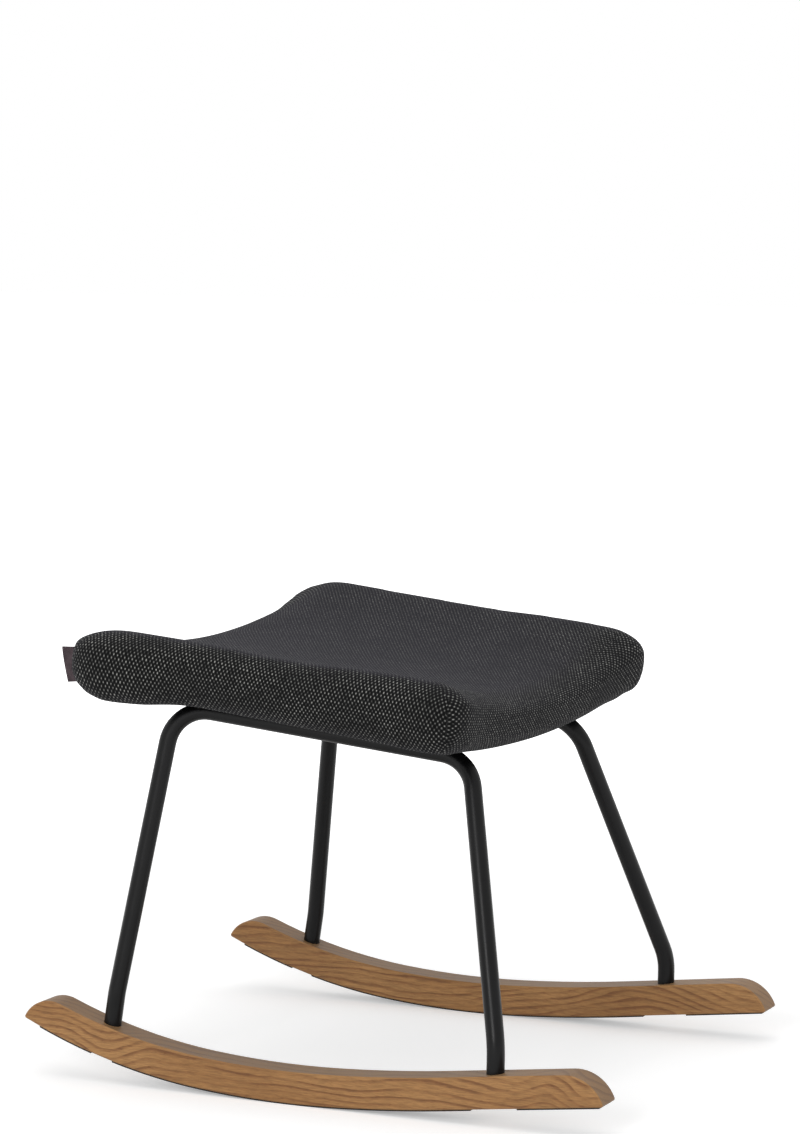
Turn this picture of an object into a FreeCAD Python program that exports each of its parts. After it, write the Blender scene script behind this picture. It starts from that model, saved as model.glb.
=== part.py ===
"""Rocking footstool: a saddle cushion on two splayed tube frames that stand on two wooden rockers.

Millimetres and degrees. +X is the front, where the seat slopes down. -Y is the near side and +Y the
far side. The origin is on the floor, at the middle of the rockers' length and width. The rocker's curve
is worked out from the point where it touches the floor, which lies a little behind the origin.

The seat has a frame of its own, tilted nose down: u runs forward, v across and w up from the seat. Its
zero is the lowest point of the seat's underside, and every seat piece is stacked up from there.
"""
import FreeCAD, Part
import math
import os
from types import SimpleNamespace

import Sketcher
from FreeCAD import Placement, Rotation, Vector

SIZES = [
    # rockers
    ("rocker_spacing", 407.0, "rocker middle to rocker middle"),
    ("rocker_width", 30.0, "across a rocker"),
    ("rocker_depth", 28.8, "height of the wood, square to its curve"),
    ("back_reach", 270.0, "floor contact to the back tip"),
    ("front_reach", 301.0, "floor contact to the front tip"),
    ("back_radius", 575.0, "floor curve behind the back turn"),
    ("middle_radius", 925.0, "floor curve at the contact"),
    ("front_radius", 1450.0, "floor curve ahead of the front turn"),
    ("back_turn", 90.0, "contact to where the back radius begins"),
    ("front_turn", 40.0, "contact to where the front radius begins"),
    ("straight_start", 150.0, "contact to where the toe runs straight"),
    ("nose_length", 38.0, "length of a rounded nose"),
    ("tip_round", 2.0, "rounding where a nose meets the underside"),
    ("edge_ease", 1.2, "eased edges along the rocker's two sides"),
    # glide strips
    ("glide_thickness", 1.2, "glide strip"),
    ("back_glide_inset", 16.0, "back tip to the back strip"),
    ("front_glide_inset", 4.0, "front tip to the front strip"),
    ("back_gap", 22.0, "gap between strips under a back foot"),
    ("front_gap", 44.0, "gap between strips under a front foot"),
    ("front_gap_shift", 4.5, "front gap's middle ahead of the bolt"),
    # side frames
    ("tube_diameter", 16.0, "outside of every tube"),
    ("tube_wall", 2.0, "wall of every tube"),
    ("back_foot_inset", 84.6, "back tip to the back foot"),
    ("front_foot_inset", 106.8, "front tip to the front foot"),
    ("back_stub_lean", 9.0, "forward lean of the back foot's stub"),
    ("front_stub_lean", 1.0, "forward lean of the front foot's stub"),
    ("back_stub", 25.1, "straight tube over the rocker at a back foot"),
    ("front_stub", 12.2, "straight tube over the rocker at a front foot"),
    ("stub_bend", 55.0, "middle line radius of a lower bend"),
    ("corner_bend", 36.0, "middle line radius of an upper bend"),
    ("back_corner_u", 117.2, "seat zero back to the upper back bend"),
    ("front_corner_u", 157.5, "seat zero forward to the upper front bend"),
    ("back_corner_inset", 83.3, "cushion's side to the upper back bend"),
    ("front_corner_inset", 111.9, "cushion's side to the upper front bend"),
    # cross bars
    ("bar_back_u", 55.0, "seat zero back to the back cross bar"),
    ("bar_front_u", 106.0, "seat zero forward to the front cross bar"),
    ("bar_width", 32.0, "flat cross bar, along the seat"),
    ("bar_thickness", 4.0, "flat cross bar"),
    ("screw_from_end", 26.0, "tube's middle line to a seat screw"),
    # seat
    ("seat_x", -23.1, "contact to the seat's zero"),
    ("seat_z", 328.9, "floor to the seat's zero"),
    ("seat_tilt", 7.0, "nose down tilt of the seat"),
    ("underside_radius", 1750.0, "curve across the seat's underside"),
    ("dust_thickness", 0.7, "dust cloth"),
    ("cover_thickness", 1.2, "woven cover"),
    ("board_thickness", 9.0, "moulded board"),
    ("board_side_inset", 38.0, "cushion side to the board"),
    ("board_end_inset", 26.0, "cushion end to the board"),
    ("board_round", 24.0, "board's corners in plan"),
    ("hem_width", 28.0, "cover turned in under the board"),
    ("dust_overlap", 12.0, "dust cloth over the hem"),
    # cushion
    ("cushion_back_u", 183.0, "seat zero back to the cushion's end"),
    ("cushion_front_u", 183.0, "seat zero forward to the cushion's end"),
    ("back_half_width", 253.0, "half of the cushion's width at the back"),
    ("front_half_width", 231.0, "half of the cushion's width at the front"),
    ("centre_height", 39.5, "underside to the cushion's top in the middle of an end"),
    ("crown", 2.7, "extra height in the middle of the seat"),
    ("back_side", 1.5, "upright between the bolster's two roundings at the back"),
    ("front_side", 2.8, "upright between the bolster's two roundings at the front"),
    ("back_top_round", 24.0, "bolster's upper rounding at the back"),
    ("front_top_round", 29.0, "bolster's upper rounding at the front"),
    ("back_low_round", 22.0, "bolster's lower rounding at the back"),
    ("front_low_round", 26.0, "bolster's lower rounding at the front"),
    ("end_round", 34.0, "depth of the rounding at the cushion's ends"),
    ("end_flat", 0.4, "share of the height left flat at an end"),
    ("plan_round", 26.0, "cushion's corners in plan"),
    # fabric tab
    ("fabric_tab_height", 33.0, "upright size of the fabric tab"),
    ("fabric_tab_reach", 12.0, "how far the tab stands out"),
    ("fabric_tab_thickness", 1.6, "doubled fabric of the tab"),
    ("fabric_tab_inset", 25.0, "cushion's near side to the tab"),
    ("fabric_tab_level", 39.0, "seat underside to the tab's middle"),
    # foot fixings
    ("socket_depth", 6.0, "tube's seat sunk in the rocker"),
    ("socket_clearance", 0.15, "gap round the tube in its seat"),
    ("thread_depth", 16.0, "threaded end welded into the tube"),
    ("clamped_wood", 14.5, "wood between the tube's seat and the washer"),
    ("bolt_diameter", 8.0, "foot bolt"),
    ("bolt_length", 30.0, "foot bolt under its head"),
    ("bolt_head", 14.4, "foot bolt's hexagon head across its corners"),
    ("bolt_head_height", 5.3, "foot bolt's head"),
    ("counterbore", 19.0, "counterbore under a rocker"),
    ("foot_washer", 17.0, "foot washer across"),
    ("washer_thickness", 1.6, "foot washer"),
    ("hole_clearance", 0.3, "gap round a shank in a plain hole"),
    ("thread_clearance", 0.1, "gap round a shank where it is threaded"),
    # seat fixings
    ("screw_diameter", 5.0, "seat screw"),
    ("screw_length", 12.0, "seat screw under its head"),
    ("screw_head", 9.2, "seat screw's hexagon head across its corners"),
    ("screw_head_height", 3.5, "seat screw's head"),
    # fits
    ("seat_gap", 0.3, "gap between the frame and the dust cloth"),
    ("weld_gap", 0.1, "gap at a welded edge"),
    ("soft_gap", 0.3, "gap between two layers of the seat"),
]

NEAR = -1
FAR = 1
BACK = -1
FRONT = 1
SIDE_NAMES = {NEAR: "near", FAR: "far"}
UP = Vector(0, 0, 1)
FORWARD = Vector(1, 0, 0)
# long enough to pass right through a rocker
CUTTER_LENGTH = 60.0
# two places this close are the same place
SAME_PLACE = 0.01
# rounds of working out a bend's corner, which settles after a few
CORNER_ROUNDS = 6
# where the cushion's sections lie, as shares of an end's rounding and of the run between the two
END_STEPS = (0.0, 0.07, 0.25, 0.55, 1.0)
MIDDLE_STEPS = (0.25, 0.5, 0.75)
COVER_LEVEL = "Sizes.dust_thickness + Sizes.soft_gap"
BOARD_LEVEL = f"{COVER_LEVEL} + Sizes.cover_thickness + Sizes.soft_gap"
# a plan block is this high, half of it over the seat's zero, which is past every layer that it trims
BLOCK_HEIGHT = "Sizes.cushion_back_u"

doc = FreeCAD.newDocument("rocking_footstool")
sheet = doc.addObject("Spreadsheet::Sheet", "Sizes")
for row, (alias, number, meaning) in enumerate(SIZES, start=1):
    sheet.set(f"A{row}", meaning)
    sheet.set(f"B{row}", str(number))
    sheet.setAlias(f"B{row}", alias)
doc.recompute()
size = SimpleNamespace(**{alias: float(sheet.get(alias)) for alias, _, _ in SIZES})

origin_x = (size.front_reach - size.back_reach) / 2
tube_radius = size.tube_diameter / 2
seat_place = Placement(
    Vector(size.seat_x - origin_x, 0, size.seat_z),
    Rotation(Vector(0, 1, 0), size.seat_tilt),
)
sub_parts = []


def keep(item, label):
    """Names a finished sub-part and lists it for writing."""
    item.Label = label
    sub_parts.append(item)
    return item


def bind(item, **expressions):
    """Binds an object's sizes to the sheet."""
    for name, expression in expressions.items():
        item.setExpression(name, expression)
    return item


def cylinder(name, radius, height, base=Vector(), direction=UP):
    """A cylinder bound to the sheet, standing on base and running along direction."""
    item = bind(doc.addObject("Part::Cylinder", name), Radius=radius, Height=height)
    item.Placement = Placement(base, Rotation(UP, direction))
    return item


def cut(name, base, tool):
    """The first object less the second."""
    item = doc.addObject("Part::Cut", name)
    item.Base = base
    item.Tool = tool
    return item


def common(name, base, tool):
    """What two objects share."""
    item = doc.addObject("Part::Common", name)
    item.Base = base
    item.Tool = tool
    return item


def fuse(name, parts):
    """One solid out of several."""
    item = doc.addObject("Part::MultiFuse", name)
    item.Shapes = parts
    return item


def new_sketch(body, role, name):
    """A sketch on one of a body's own origin planes."""
    plane = next(feature for feature in body.Origin.OriginFeatures if feature.Role == role)
    sketch = body.newObject("Sketcher::SketchObject", name)
    sketch.AttachmentSupport = [(plane, "")]
    sketch.MapMode = "FlatFace"
    return sketch


def constrain(sketch, name, expression, *arguments):
    """Adds a named size to a sketch and binds it to the sheet."""
    number = sketch.addConstraint(Sketcher.Constraint(*arguments))
    sketch.renameConstraint(number, name)
    sketch.setExpression(f"Constraints.{name}", expression)


def pad(body, sketch, name, length, symmetric=False):
    """Pads a sketch by a length from the sheet."""
    item = body.newObject("PartDesign::Pad", name)
    item.Profile = sketch
    if symmetric:
        item.SideType = "Symmetric"
    bind(item, Length=length)
    doc.recompute()
    return item


def dress(body, base, kind, name, size_name, expression, wanted):
    """Rounds or chamfers the edges of a feature that a test picks."""
    edges = [f"Edge{number}" for number, edge in enumerate(base.Shape.Edges, start=1) if wanted(edge)]
    item = body.newObject(kind, name)
    item.Base = (base, edges)
    bind(item, **{size_name: expression})
    doc.recompute()
    return item


def crosses(edge):
    """Whether an edge runs from one side of a rocker to the other."""
    return edge.Vertexes[0].Y * edge.Vertexes[-1].Y < 0


def upright(edge):
    """Whether an edge runs up a plan block."""
    return abs(edge.Vertexes[0].Z - edge.Vertexes[-1].Z) > SAME_PLACE


def outline_sketch(body, name, corners):
    """A closed sketch of straight lines through corners, which are numbered from the back near one."""
    sketch = new_sketch(body, "XY_Plane", name)
    lines = [Part.LineSegment(a, b) for a, b in zip(corners, corners[1:] + corners[:1])]
    sketch.addGeometry(lines, False)
    for number in range(len(lines)):
        sketch.addConstraint(Sketcher.Constraint("Coincident", number, 2, (number + 1) % len(lines), 1))
    return sketch


# The rocker's curve, from the contact point, at any height above the floor curve.

back_angle = math.asin(size.back_turn / size.middle_radius)
front_angle = math.asin(size.front_turn / size.middle_radius)
middle_centre = Vector(0, size.middle_radius, 0)
back_centre = middle_centre + Vector(-math.sin(back_angle), -math.cos(back_angle), 0) * (
    size.middle_radius - size.back_radius
)
front_centre = middle_centre + Vector(-math.sin(front_angle), math.cos(front_angle), 0) * (
    size.front_radius - size.middle_radius
)
straight_angle = math.asin((size.straight_start - front_centre.x) / size.front_radius)


def on_arc(centre, radius, angle):
    """The point of an arc at an angle from straight down, positive forward."""
    return centre + Vector(math.sin(angle), -math.cos(angle), 0) * radius


def curve_point(x, inward):
    """The curve's point at x, and its slope there, on the line that lies inward of the floor curve."""
    back_joint = on_arc(middle_centre, size.middle_radius - inward, -back_angle)
    front_joint = on_arc(middle_centre, size.middle_radius - inward, front_angle)
    straight_joint = on_arc(front_centre, size.front_radius - inward, straight_angle)
    if x >= straight_joint.x:
        rise = (x - straight_joint.x) * math.tan(straight_angle)
        return Vector(x, straight_joint.y + rise, 0), straight_angle
    centre, radius = middle_centre, size.middle_radius
    if x < back_joint.x:
        centre, radius = back_centre, size.back_radius
    if x > front_joint.x:
        centre, radius = front_centre, size.front_radius
    angle = math.asin((x - centre.x) / (radius - inward))
    return on_arc(centre, radius - inward, angle), angle


def curve_chain(inward, back_x, front_x):
    """The back, middle and front arcs and the straight toe of one line, as geometry from back to front."""
    radii = (size.back_radius - inward, size.middle_radius - inward, size.front_radius - inward)
    start_angle = curve_point(back_x, inward)[1]
    stops = (start_angle, -back_angle, front_angle, straight_angle)
    down = -math.pi / 2
    chain = [
        Part.ArcOfCircle(Part.Circle(centre, Vector(0, 0, 1), radius), down + begin, down + end)
        for centre, radius, begin, end in zip(
            (back_centre, middle_centre, front_centre), radii, stops[:-1], stops[1:]
        )
    ]
    toe = on_arc(front_centre, radii[2], straight_angle)
    chain.append(Part.LineSegment(toe, curve_point(front_x, inward)[0]))
    return chain


def nose_arc(tip, shoulder, slope):
    """The arc from a shoulder on the top line to the tip, leaving the top line along its slope."""
    along = Vector(math.cos(slope), math.sin(slope), 0)
    inward = Vector(math.sin(slope), -math.cos(slope), 0)
    chord = tip - shoulder
    radius = chord.dot(chord) / (2 * chord.dot(inward))
    centre = shoulder + inward * radius
    middle = centre + (chord * 0.5 + shoulder - centre).normalize() * radius
    forward = chord.dot(along) > 0
    ends = (tip, middle, shoulder) if forward else (shoulder, middle, tip)
    return Part.Arc(*ends)


def outline_between(sketch, low, high, low_name, high_name, rounded):
    """Draws the closed outline between two lines of the rocker's curve and constrains it fully.

    The ends are rounded noses for the wood, and upright cuts for a strip.
    """
    reach = (-size.back_reach, size.front_reach)
    shoulders = reach
    if rounded:
        shoulders = (reach[0] + size.nose_length, reach[1] - size.nose_length)
    lower = curve_chain(low, *reach)
    upper = curve_chain(high, *shoulders)
    low_ends = [curve_point(x, low) for x in reach]
    high_ends = [curve_point(x, high) for x in shoulders]
    if rounded:
        closers = [nose_arc(tip, top, slope) for (tip, _), (top, slope) in zip(low_ends, high_ends)]
    else:
        closers = [Part.LineSegment(tip, top) for (tip, _), (top, _) in zip(low_ends, high_ends)]
    sketch.addGeometry(lower + upper + closers, False)
    back_low, middle_low, front_low, toe_low = range(4)
    back_high, middle_high, front_high, toe_high = range(4, 8)
    back_end, front_end = range(8, 10)
    start, finish, centre = range(1, 4)

    def add(*arguments):
        sketch.addConstraint(Sketcher.Constraint(*arguments))

    for first in (back_low, middle_low, front_low, back_high, middle_high, front_high):
        add("Tangent", first, finish, first + 1, start)
    for first in (back_low, middle_low, front_low):
        add("Coincident", first, centre, first + 4, centre)
    add("Parallel", toe_low, toe_high)
    add("PointOnObject", middle_low, centre, -2)
    if rounded:
        # the top shoulder of the back nose is its arc's last point, and of the front nose its first
        back_shoulder, back_tip = nearest_ends(closers[0], high_ends[0][0])
        front_shoulder, front_tip = nearest_ends(closers[1], high_ends[1][0])
        add("Tangent", back_end, back_shoulder, back_high, start)
        add("Tangent", front_end, front_shoulder, toe_high, finish)
        add("Coincident", back_end, back_tip, back_low, start)
        add("Coincident", front_end, front_tip, toe_low, finish)
        nose = "Sizes.nose_length"
        constrain(sketch, "back_nose", nose, "DistanceX", back_low, start, back_high, start, size.nose_length)
        constrain(sketch, "front_nose", nose, "DistanceX", toe_high, finish, toe_low, finish,
                  size.nose_length)
    else:
        for end, tip, top in ((back_end, (back_low, start), (back_high, start)),
                              (front_end, (toe_low, finish), (toe_high, finish))):
            add("Coincident", end, start, *tip)
            add("Coincident", end, finish, *top)
            add("Vertical", end)
    low_text = f" - Sizes.{low_name}" if low_name else ""
    high_text = f"{low_text} - Sizes.{high_name}"
    for name, number, text in (("back", back_low, low_text), ("middle", middle_low, low_text),
                               ("front", front_low, low_text)):
        radius = getattr(size, f"{name}_radius") - low
        constrain(sketch, f"{name}_low", f"Sizes.{name}_radius{text}", "Radius", number, radius)
    constrain(sketch, "middle_high", f"Sizes.middle_radius{high_text}", "Radius", middle_high,
              size.middle_radius - high)
    constrain(sketch, "centre_height", "Sizes.middle_radius", "DistanceY", -1, 1, middle_low, centre,
              size.middle_radius)
    constrain(sketch, "back_tip", "Sizes.back_reach", "DistanceX", back_low, start, -1, 1, size.back_reach)
    constrain(sketch, "front_tip", "Sizes.front_reach", "DistanceX", -1, 1, toe_low, finish,
              size.front_reach)
    share = f"(1{low_text} / Sizes.middle_radius)" if low_name else "1"
    back_joint = size.back_turn * (1 - low / size.middle_radius)
    front_joint = size.front_turn * (1 - low / size.middle_radius)
    constrain(sketch, "back_joint", f"Sizes.back_turn * {share}", "DistanceX", middle_low, start, -1, 1,
              back_joint)
    constrain(sketch, "front_joint", f"Sizes.front_turn * {share}", "DistanceX", -1, 1, middle_low, finish,
              front_joint)
    toe_start = on_arc(front_centre, size.front_radius - low, straight_angle).x
    add("DistanceX", -1, 1, toe_low, start, toe_start)


def nearest_ends(arc, point):
    """Which end of an arc is at a point, and which is the other, as the sketcher numbers them."""
    if (arc.StartPoint - point).Length < (arc.EndPoint - point).Length:
        return 1, 2
    return 2, 1


def foot_axis(end):
    """Where a foot's axis meets the rocker's top, and its upward direction, in the rocker's plane."""
    x = size.front_reach - size.front_foot_inset if end == FRONT else size.back_foot_inset - size.back_reach
    lean = math.radians(size.front_stub_lean if end == FRONT else size.back_stub_lean)
    top = curve_point(x, size.glide_thickness + size.rocker_depth)[0]
    return Vector(top.x, 0, top.y), Vector(math.sin(lean), 0, math.cos(lean))


def rocker(side):
    """One rocker: the curved blank, its rounded edges, and a seat, bolt hole and counterbore at each foot."""
    body = doc.addObject("PartDesign::Body", f"Rocker{side + 1}")
    sketch = new_sketch(body, "XZ_Plane", f"RockerOutline{side + 1}")
    outline_between(sketch, size.glide_thickness, size.glide_thickness + size.rocker_depth,
                    "glide_thickness", "rocker_depth", rounded=True)
    blank = pad(body, sketch, f"RockerBlank{side + 1}", "Sizes.rocker_width", symmetric=True)
    tips = (-size.back_reach, size.front_reach)
    rounded = dress(body, blank, "PartDesign::Fillet", f"RockerTips{side + 1}", "Radius", "Sizes.tip_round",
                    lambda edge: crosses(edge) and any(abs(edge.CenterOfMass.x - tip) < SAME_PLACE
                                                     for tip in tips))
    dress(body, rounded, "PartDesign::Chamfer", f"RockerEdges{side + 1}", "Size", "Sizes.edge_ease",
          lambda edge: not crosses(edge))
    for end in (BACK, FRONT):
        top, upward = foot_axis(end)
        turn = Rotation(UP, upward)
        holes = (
            ("Socket", "Sizes.tube_diameter / 2 + Sizes.socket_clearance", -size.socket_depth),
            ("BoltHole", "Sizes.bolt_diameter / 2 + Sizes.hole_clearance", -CUTTER_LENGTH),
            ("Counterbore", "Sizes.counterbore / 2",
             -size.socket_depth - size.clamped_wood - CUTTER_LENGTH),
        )
        for name, radius, level in holes:
            hole = body.newObject("PartDesign::SubtractiveCylinder", f"{name}{side + 1}{end + 1}")
            bind(hole, Radius=radius)
            hole.Height = CUTTER_LENGTH
            hole.Placement = Placement(top + upward * level, turn)
            doc.recompute()
    body.Placement = Placement(Vector(-origin_x, side * size.rocker_spacing / 2, 0), Rotation())
    return keep(body, f"rocker_{SIDE_NAMES[side]}")


def glide_limits():
    """The back and front limits of the three strips on a rocker, from the contact point."""
    depth = size.glide_thickness + size.rocker_depth
    exits = []
    for end in (BACK, FRONT):
        top, upward = foot_axis(end)
        exits.append(top.x - upward.x * depth)
    back_gap = (exits[0] - size.back_gap / 2, exits[0] + size.back_gap / 2)
    front_middle = exits[1] + size.front_gap_shift
    front_gap = (front_middle - size.front_gap / 2, front_middle + size.front_gap / 2)
    return {
        "back": (-size.back_reach + size.back_glide_inset, back_gap[0]),
        "mid": (back_gap[1], front_gap[0]),
        "front": (front_gap[1], size.front_reach - size.front_glide_inset),
    }


def glides(side):
    """The three strips under one rocker, each cut from a band that follows the floor curve."""
    side_name = SIDE_NAMES[side]
    place = Placement(Vector(-origin_x, side * size.rocker_spacing / 2, 0), Rotation())
    for name, (back_x, front_x) in glide_limits().items():
        tag = f"{side_name}_{name}"
        body = doc.addObject("PartDesign::Body", f"Band_{tag}")
        sketch = new_sketch(body, "XZ_Plane", f"BandOutline_{tag}")
        outline_between(sketch, 0, size.glide_thickness, "", "glide_thickness", rounded=False)
        pad(body, sketch, f"BandPad_{tag}", "Sizes.rocker_width - 2 * Sizes.edge_ease", symmetric=True)
        block = doc.addObject("Part::Box", f"Length_{tag}")
        block.Length = front_x - back_x
        # from just under the floor to well over the highest tip
        bind(block, Width="Sizes.rocker_width", Height="Sizes.back_reach")
        block.Placement.Base = Vector(back_x, -size.rocker_width / 2, -size.glide_thickness)
        strip = common(f"Glide_{tag}", body, block)
        strip.Placement = place
        keep(strip, f"glide_{tag}")


def on_underside(v, drop):
    """The seat-frame height of the line that runs at a distance below the underside, at v across."""
    radius = size.underside_radius + drop
    return size.underside_radius - math.sqrt(radius * radius - v * v)


def top_run(side):
    """The two bends of a side frame's top run, in the seat's frame, with the tube just under the seat."""
    drop = size.seat_gap + tube_radius
    back_v = half_width(-size.back_corner_u) - size.back_corner_inset
    front_v = half_width(size.front_corner_u) - size.front_corner_inset
    back = Vector(-size.back_corner_u, side * back_v, on_underside(back_v, drop))
    front = Vector(size.front_corner_u, side * front_v, on_underside(front_v, drop))
    return back, front


def tangent_path(points, radii):
    """A wire of straight runs joined by tangent arcs of the given radii."""
    edges = []
    last = points[0]
    for before, corner, after, radius in zip(points, points[1:], points[2:], radii):
        back = (before - corner).normalize()
        ahead = (after - corner).normalize()
        half = back.getAngle(ahead) / 2
        reach = radius / math.tan(half)
        begin = corner + back * reach
        end = corner + ahead * reach
        centre = corner + (back + ahead).normalize() * (radius / math.sin(half))
        middle = centre + (corner - centre).normalize() * radius
        edges.append(Part.LineSegment(last, begin).toShape())
        edges.append(Part.Arc(begin, middle, end).toShape())
        last = end
    edges.append(Part.LineSegment(last, points[-1]).toShape())
    return Part.Wire(edges)


def swept(name, points, radius):
    """A round bar that follows a side frame's path."""
    spine = doc.addObject("Part::Feature", f"{name}Path")
    spine.Shape = tangent_path(points, (size.stub_bend, size.corner_bend, size.corner_bend, size.stub_bend))
    circle = bind(doc.addObject("Part::Circle", f"{name}Circle"), Radius=radius)
    circle.Placement = Placement(points[0], Rotation(UP, points[1] - points[0]))
    sweep = doc.addObject("Part::Sweep", name)
    sweep.Sections = [circle]
    sweep.Spine = (spine, [f"Edge{number}" for number in range(1, len(spine.Shape.Edges) + 1)])
    sweep.Solid = True
    return sweep


def lower_corner(top, upward, straight, target):
    """Where a foot's axis meets its leg's, so that the tube over the rocker is straight for a length."""
    corner = top + upward * straight
    for _ in range(CORNER_ROUNDS):
        turn = upward.getAngle(target - corner)
        corner = top + upward * (straight + size.stub_bend * math.tan(turn / 2))
    return corner


def side_frame(side):
    """One tube bent to an arch: upright stubs in the rocker, splayed legs and a run under the seat."""
    rocker_y = Vector(-origin_x, side * size.rocker_spacing / 2, 0)
    back, front = (seat_place.multVec(corner) for corner in top_run(side))
    points = []
    for end, stub, target in ((BACK, size.back_stub, back), (FRONT, size.front_stub, front)):
        top, upward = foot_axis(end)
        top += rocker_y
        points.append([top - upward * size.socket_depth, lower_corner(top, upward, stub, target)])
    name = f"SideFrame{side + 1}"
    tube = swept(f"{name}Outside", points[0] + [back, front] + points[1][::-1], "Sizes.tube_diameter / 2")
    for foot in points:
        upward = (foot[1] - foot[0]).normalize()
        foot.append(foot[0] + upward * size.thread_depth)
    bore_path = [points[0][2], points[0][1], back, front, points[1][1], points[1][2]]
    bore = swept(f"{name}Bore", bore_path, "Sizes.tube_diameter / 2 - Sizes.tube_wall")
    tube = cut(f"{name}Tube", tube, bore)
    for end, foot in zip((BACK, FRONT), points):
        hole = cylinder(f"{name}Thread{end + 1}", "Sizes.bolt_diameter / 2 + Sizes.thread_clearance",
                        "Sizes.thread_depth + Sizes.tube_wall", foot[0], foot[1] - foot[0])
        tube = cut(f"{name}Threaded{end + 1}", tube, hole)
    return keep(tube, f"side_frame_{SIDE_NAMES[side]}")


def run_point(side, u):
    """The top run's middle line at u along the seat, and its forward direction, in the seat's frame."""
    back, front = top_run(side)
    share = (u - back.x) / (front.x - back.x)
    return back + (front - back) * share, (front - back).normalize()


def bar_reach(side, u):
    """How far a cross bar's end stays from the tube's middle line, across the seat.

    The bar's lower corner meets the tube's side, and the bar's top is level with the tube's top.
    """
    point, forward = run_point(side, u)
    tilt = math.atan2(abs(point.y), size.underside_radius - point.z)
    over_middle = tube_radius - size.bar_thickness
    from_middle = math.sqrt(tube_radius ** 2 - over_middle ** 2) + size.weld_gap
    reach = over_middle * math.sin(tilt) + from_middle * math.cos(tilt)
    return reach / math.cos(math.atan2(forward.y, forward.x))


def bar_stations():
    """The u of the back and front cross bars."""
    return {"back": -size.bar_back_u, "front": size.bar_front_u}


def screw_axes():
    """Every seat screw's point under its cross bar, and its upward direction, in the seat's frame."""
    axes = []
    for u in bar_stations().values():
        for side in (NEAR, FAR):
            run = run_point(side, u)[0]
            inner = Vector(u, run.y - side * size.screw_from_end, size.underside_radius)
            upward = Vector(0, -inner.y, math.sqrt(size.underside_radius ** 2 - inner.y ** 2)).normalize()
            under_bar = size.underside_radius + size.seat_gap + size.bar_thickness
            axes.append((Vector(u, 0, size.underside_radius) - upward * under_bar, upward))
    return axes


def cross_bar(name, u):
    """A flat bar bent to the underside's curve, welded between the side frames, with two screw holes."""
    body = doc.addObject("PartDesign::Body", f"BarPlan_{name}")
    back_u, front_u = u - size.bar_width / 2, u + size.bar_width / 2
    ends = [run_point(FAR, station)[0].y - bar_reach(FAR, station) for station in (back_u, front_u)]
    corners = [Vector(back_u, -ends[0], 0), Vector(front_u, -ends[1], 0), Vector(front_u, ends[1], 0),
               Vector(back_u, ends[0], 0)]
    sketch = outline_sketch(body, f"BarOutline_{name}", corners)
    sketch.addConstraint(Sketcher.Constraint("Symmetric", 0, 2, 2, 1, -1))
    sketch.addConstraint(Sketcher.Constraint("Symmetric", 0, 1, 2, 2, -1))
    constrain(sketch, "width", "Sizes.bar_width", "DistanceX", 0, 1, 0, 2, size.bar_width)
    sketch.addConstraint(Sketcher.Constraint("DistanceX", 0, 1, -1, 1, -back_u))
    sketch.addConstraint(Sketcher.Constraint("DistanceY", 3, 2, 3, 1, 2 * ends[0]))
    sketch.addConstraint(Sketcher.Constraint("DistanceY", 1, 1, 1, 2, 2 * ends[1]))
    pad(body, sketch, f"BarPad_{name}", BLOCK_HEIGHT, symmetric=True)
    layer = curved_layer(f"Bar_{name}", "-Sizes.seat_gap - Sizes.bar_thickness", "Sizes.bar_thickness", body)
    bar = screw_holes(f"BarHole_{name}", layer, "Sizes.screw_diameter / 2 + Sizes.hole_clearance", u)
    bar.Placement = seat_place
    return keep(bar, f"cross_bar_{name}")


def half_width(u):
    """Half of the cushion's width at u, before its corners are rounded."""
    share = (u + size.cushion_back_u) / (size.cushion_back_u + size.cushion_front_u)
    return size.back_half_width + (size.front_half_width - size.back_half_width) * share


def plan_block(name, side_inset, end_inset, corner, top):
    """An upright block with the cushion's tapered outline, set in from its sides and ends."""
    body = doc.addObject("PartDesign::Body", name)
    back_u = -size.cushion_back_u + end_inset
    front_u = size.cushion_front_u - end_inset
    back_half = half_width(back_u) - side_inset
    front_half = half_width(front_u) - side_inset
    corners = [Vector(back_u, -back_half, 0), Vector(front_u, -front_half, 0),
               Vector(front_u, front_half, 0), Vector(back_u, back_half, 0)]
    sketch = outline_sketch(body, f"{name}Outline", corners)
    sketch.addConstraint(Sketcher.Constraint("Symmetric", 0, 2, 2, 1, -1))
    sketch.addConstraint(Sketcher.Constraint("Symmetric", 0, 1, 2, 2, -1))
    sketch.addConstraint(Sketcher.Constraint("DistanceX", 0, 1, -1, 1, -back_u))
    sketch.addConstraint(Sketcher.Constraint("DistanceX", -1, 1, 0, 2, front_u))
    sketch.addConstraint(Sketcher.Constraint("DistanceY", 3, 2, 3, 1, 2 * back_half))
    sketch.addConstraint(Sketcher.Constraint("DistanceY", 1, 1, 1, 2, 2 * front_half))
    block = pad(body, sketch, f"{name}Pad", top, symmetric=True)
    dress(body, block, "PartDesign::Fillet", f"{name}Corners", "Radius", corner, upright)
    return body


def curved_layer(name, level, thickness, outline):
    """A layer that follows the seat's underside from a level up by a thickness, within an outline."""
    base = Vector(-size.cushion_back_u, 0, size.underside_radius)
    length = "Sizes.cushion_back_u + Sizes.cushion_front_u"
    lower = cylinder(f"{name}Lower", f"Sizes.underside_radius - ({level})", length, base, FORWARD)
    upper = cylinder(f"{name}Upper", f"Sizes.underside_radius - ({level}) - ({thickness})", length, base,
                     FORWARD)
    return common(f"{name}Layer", cut(f"{name}Ring", lower, upper), outline)


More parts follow.
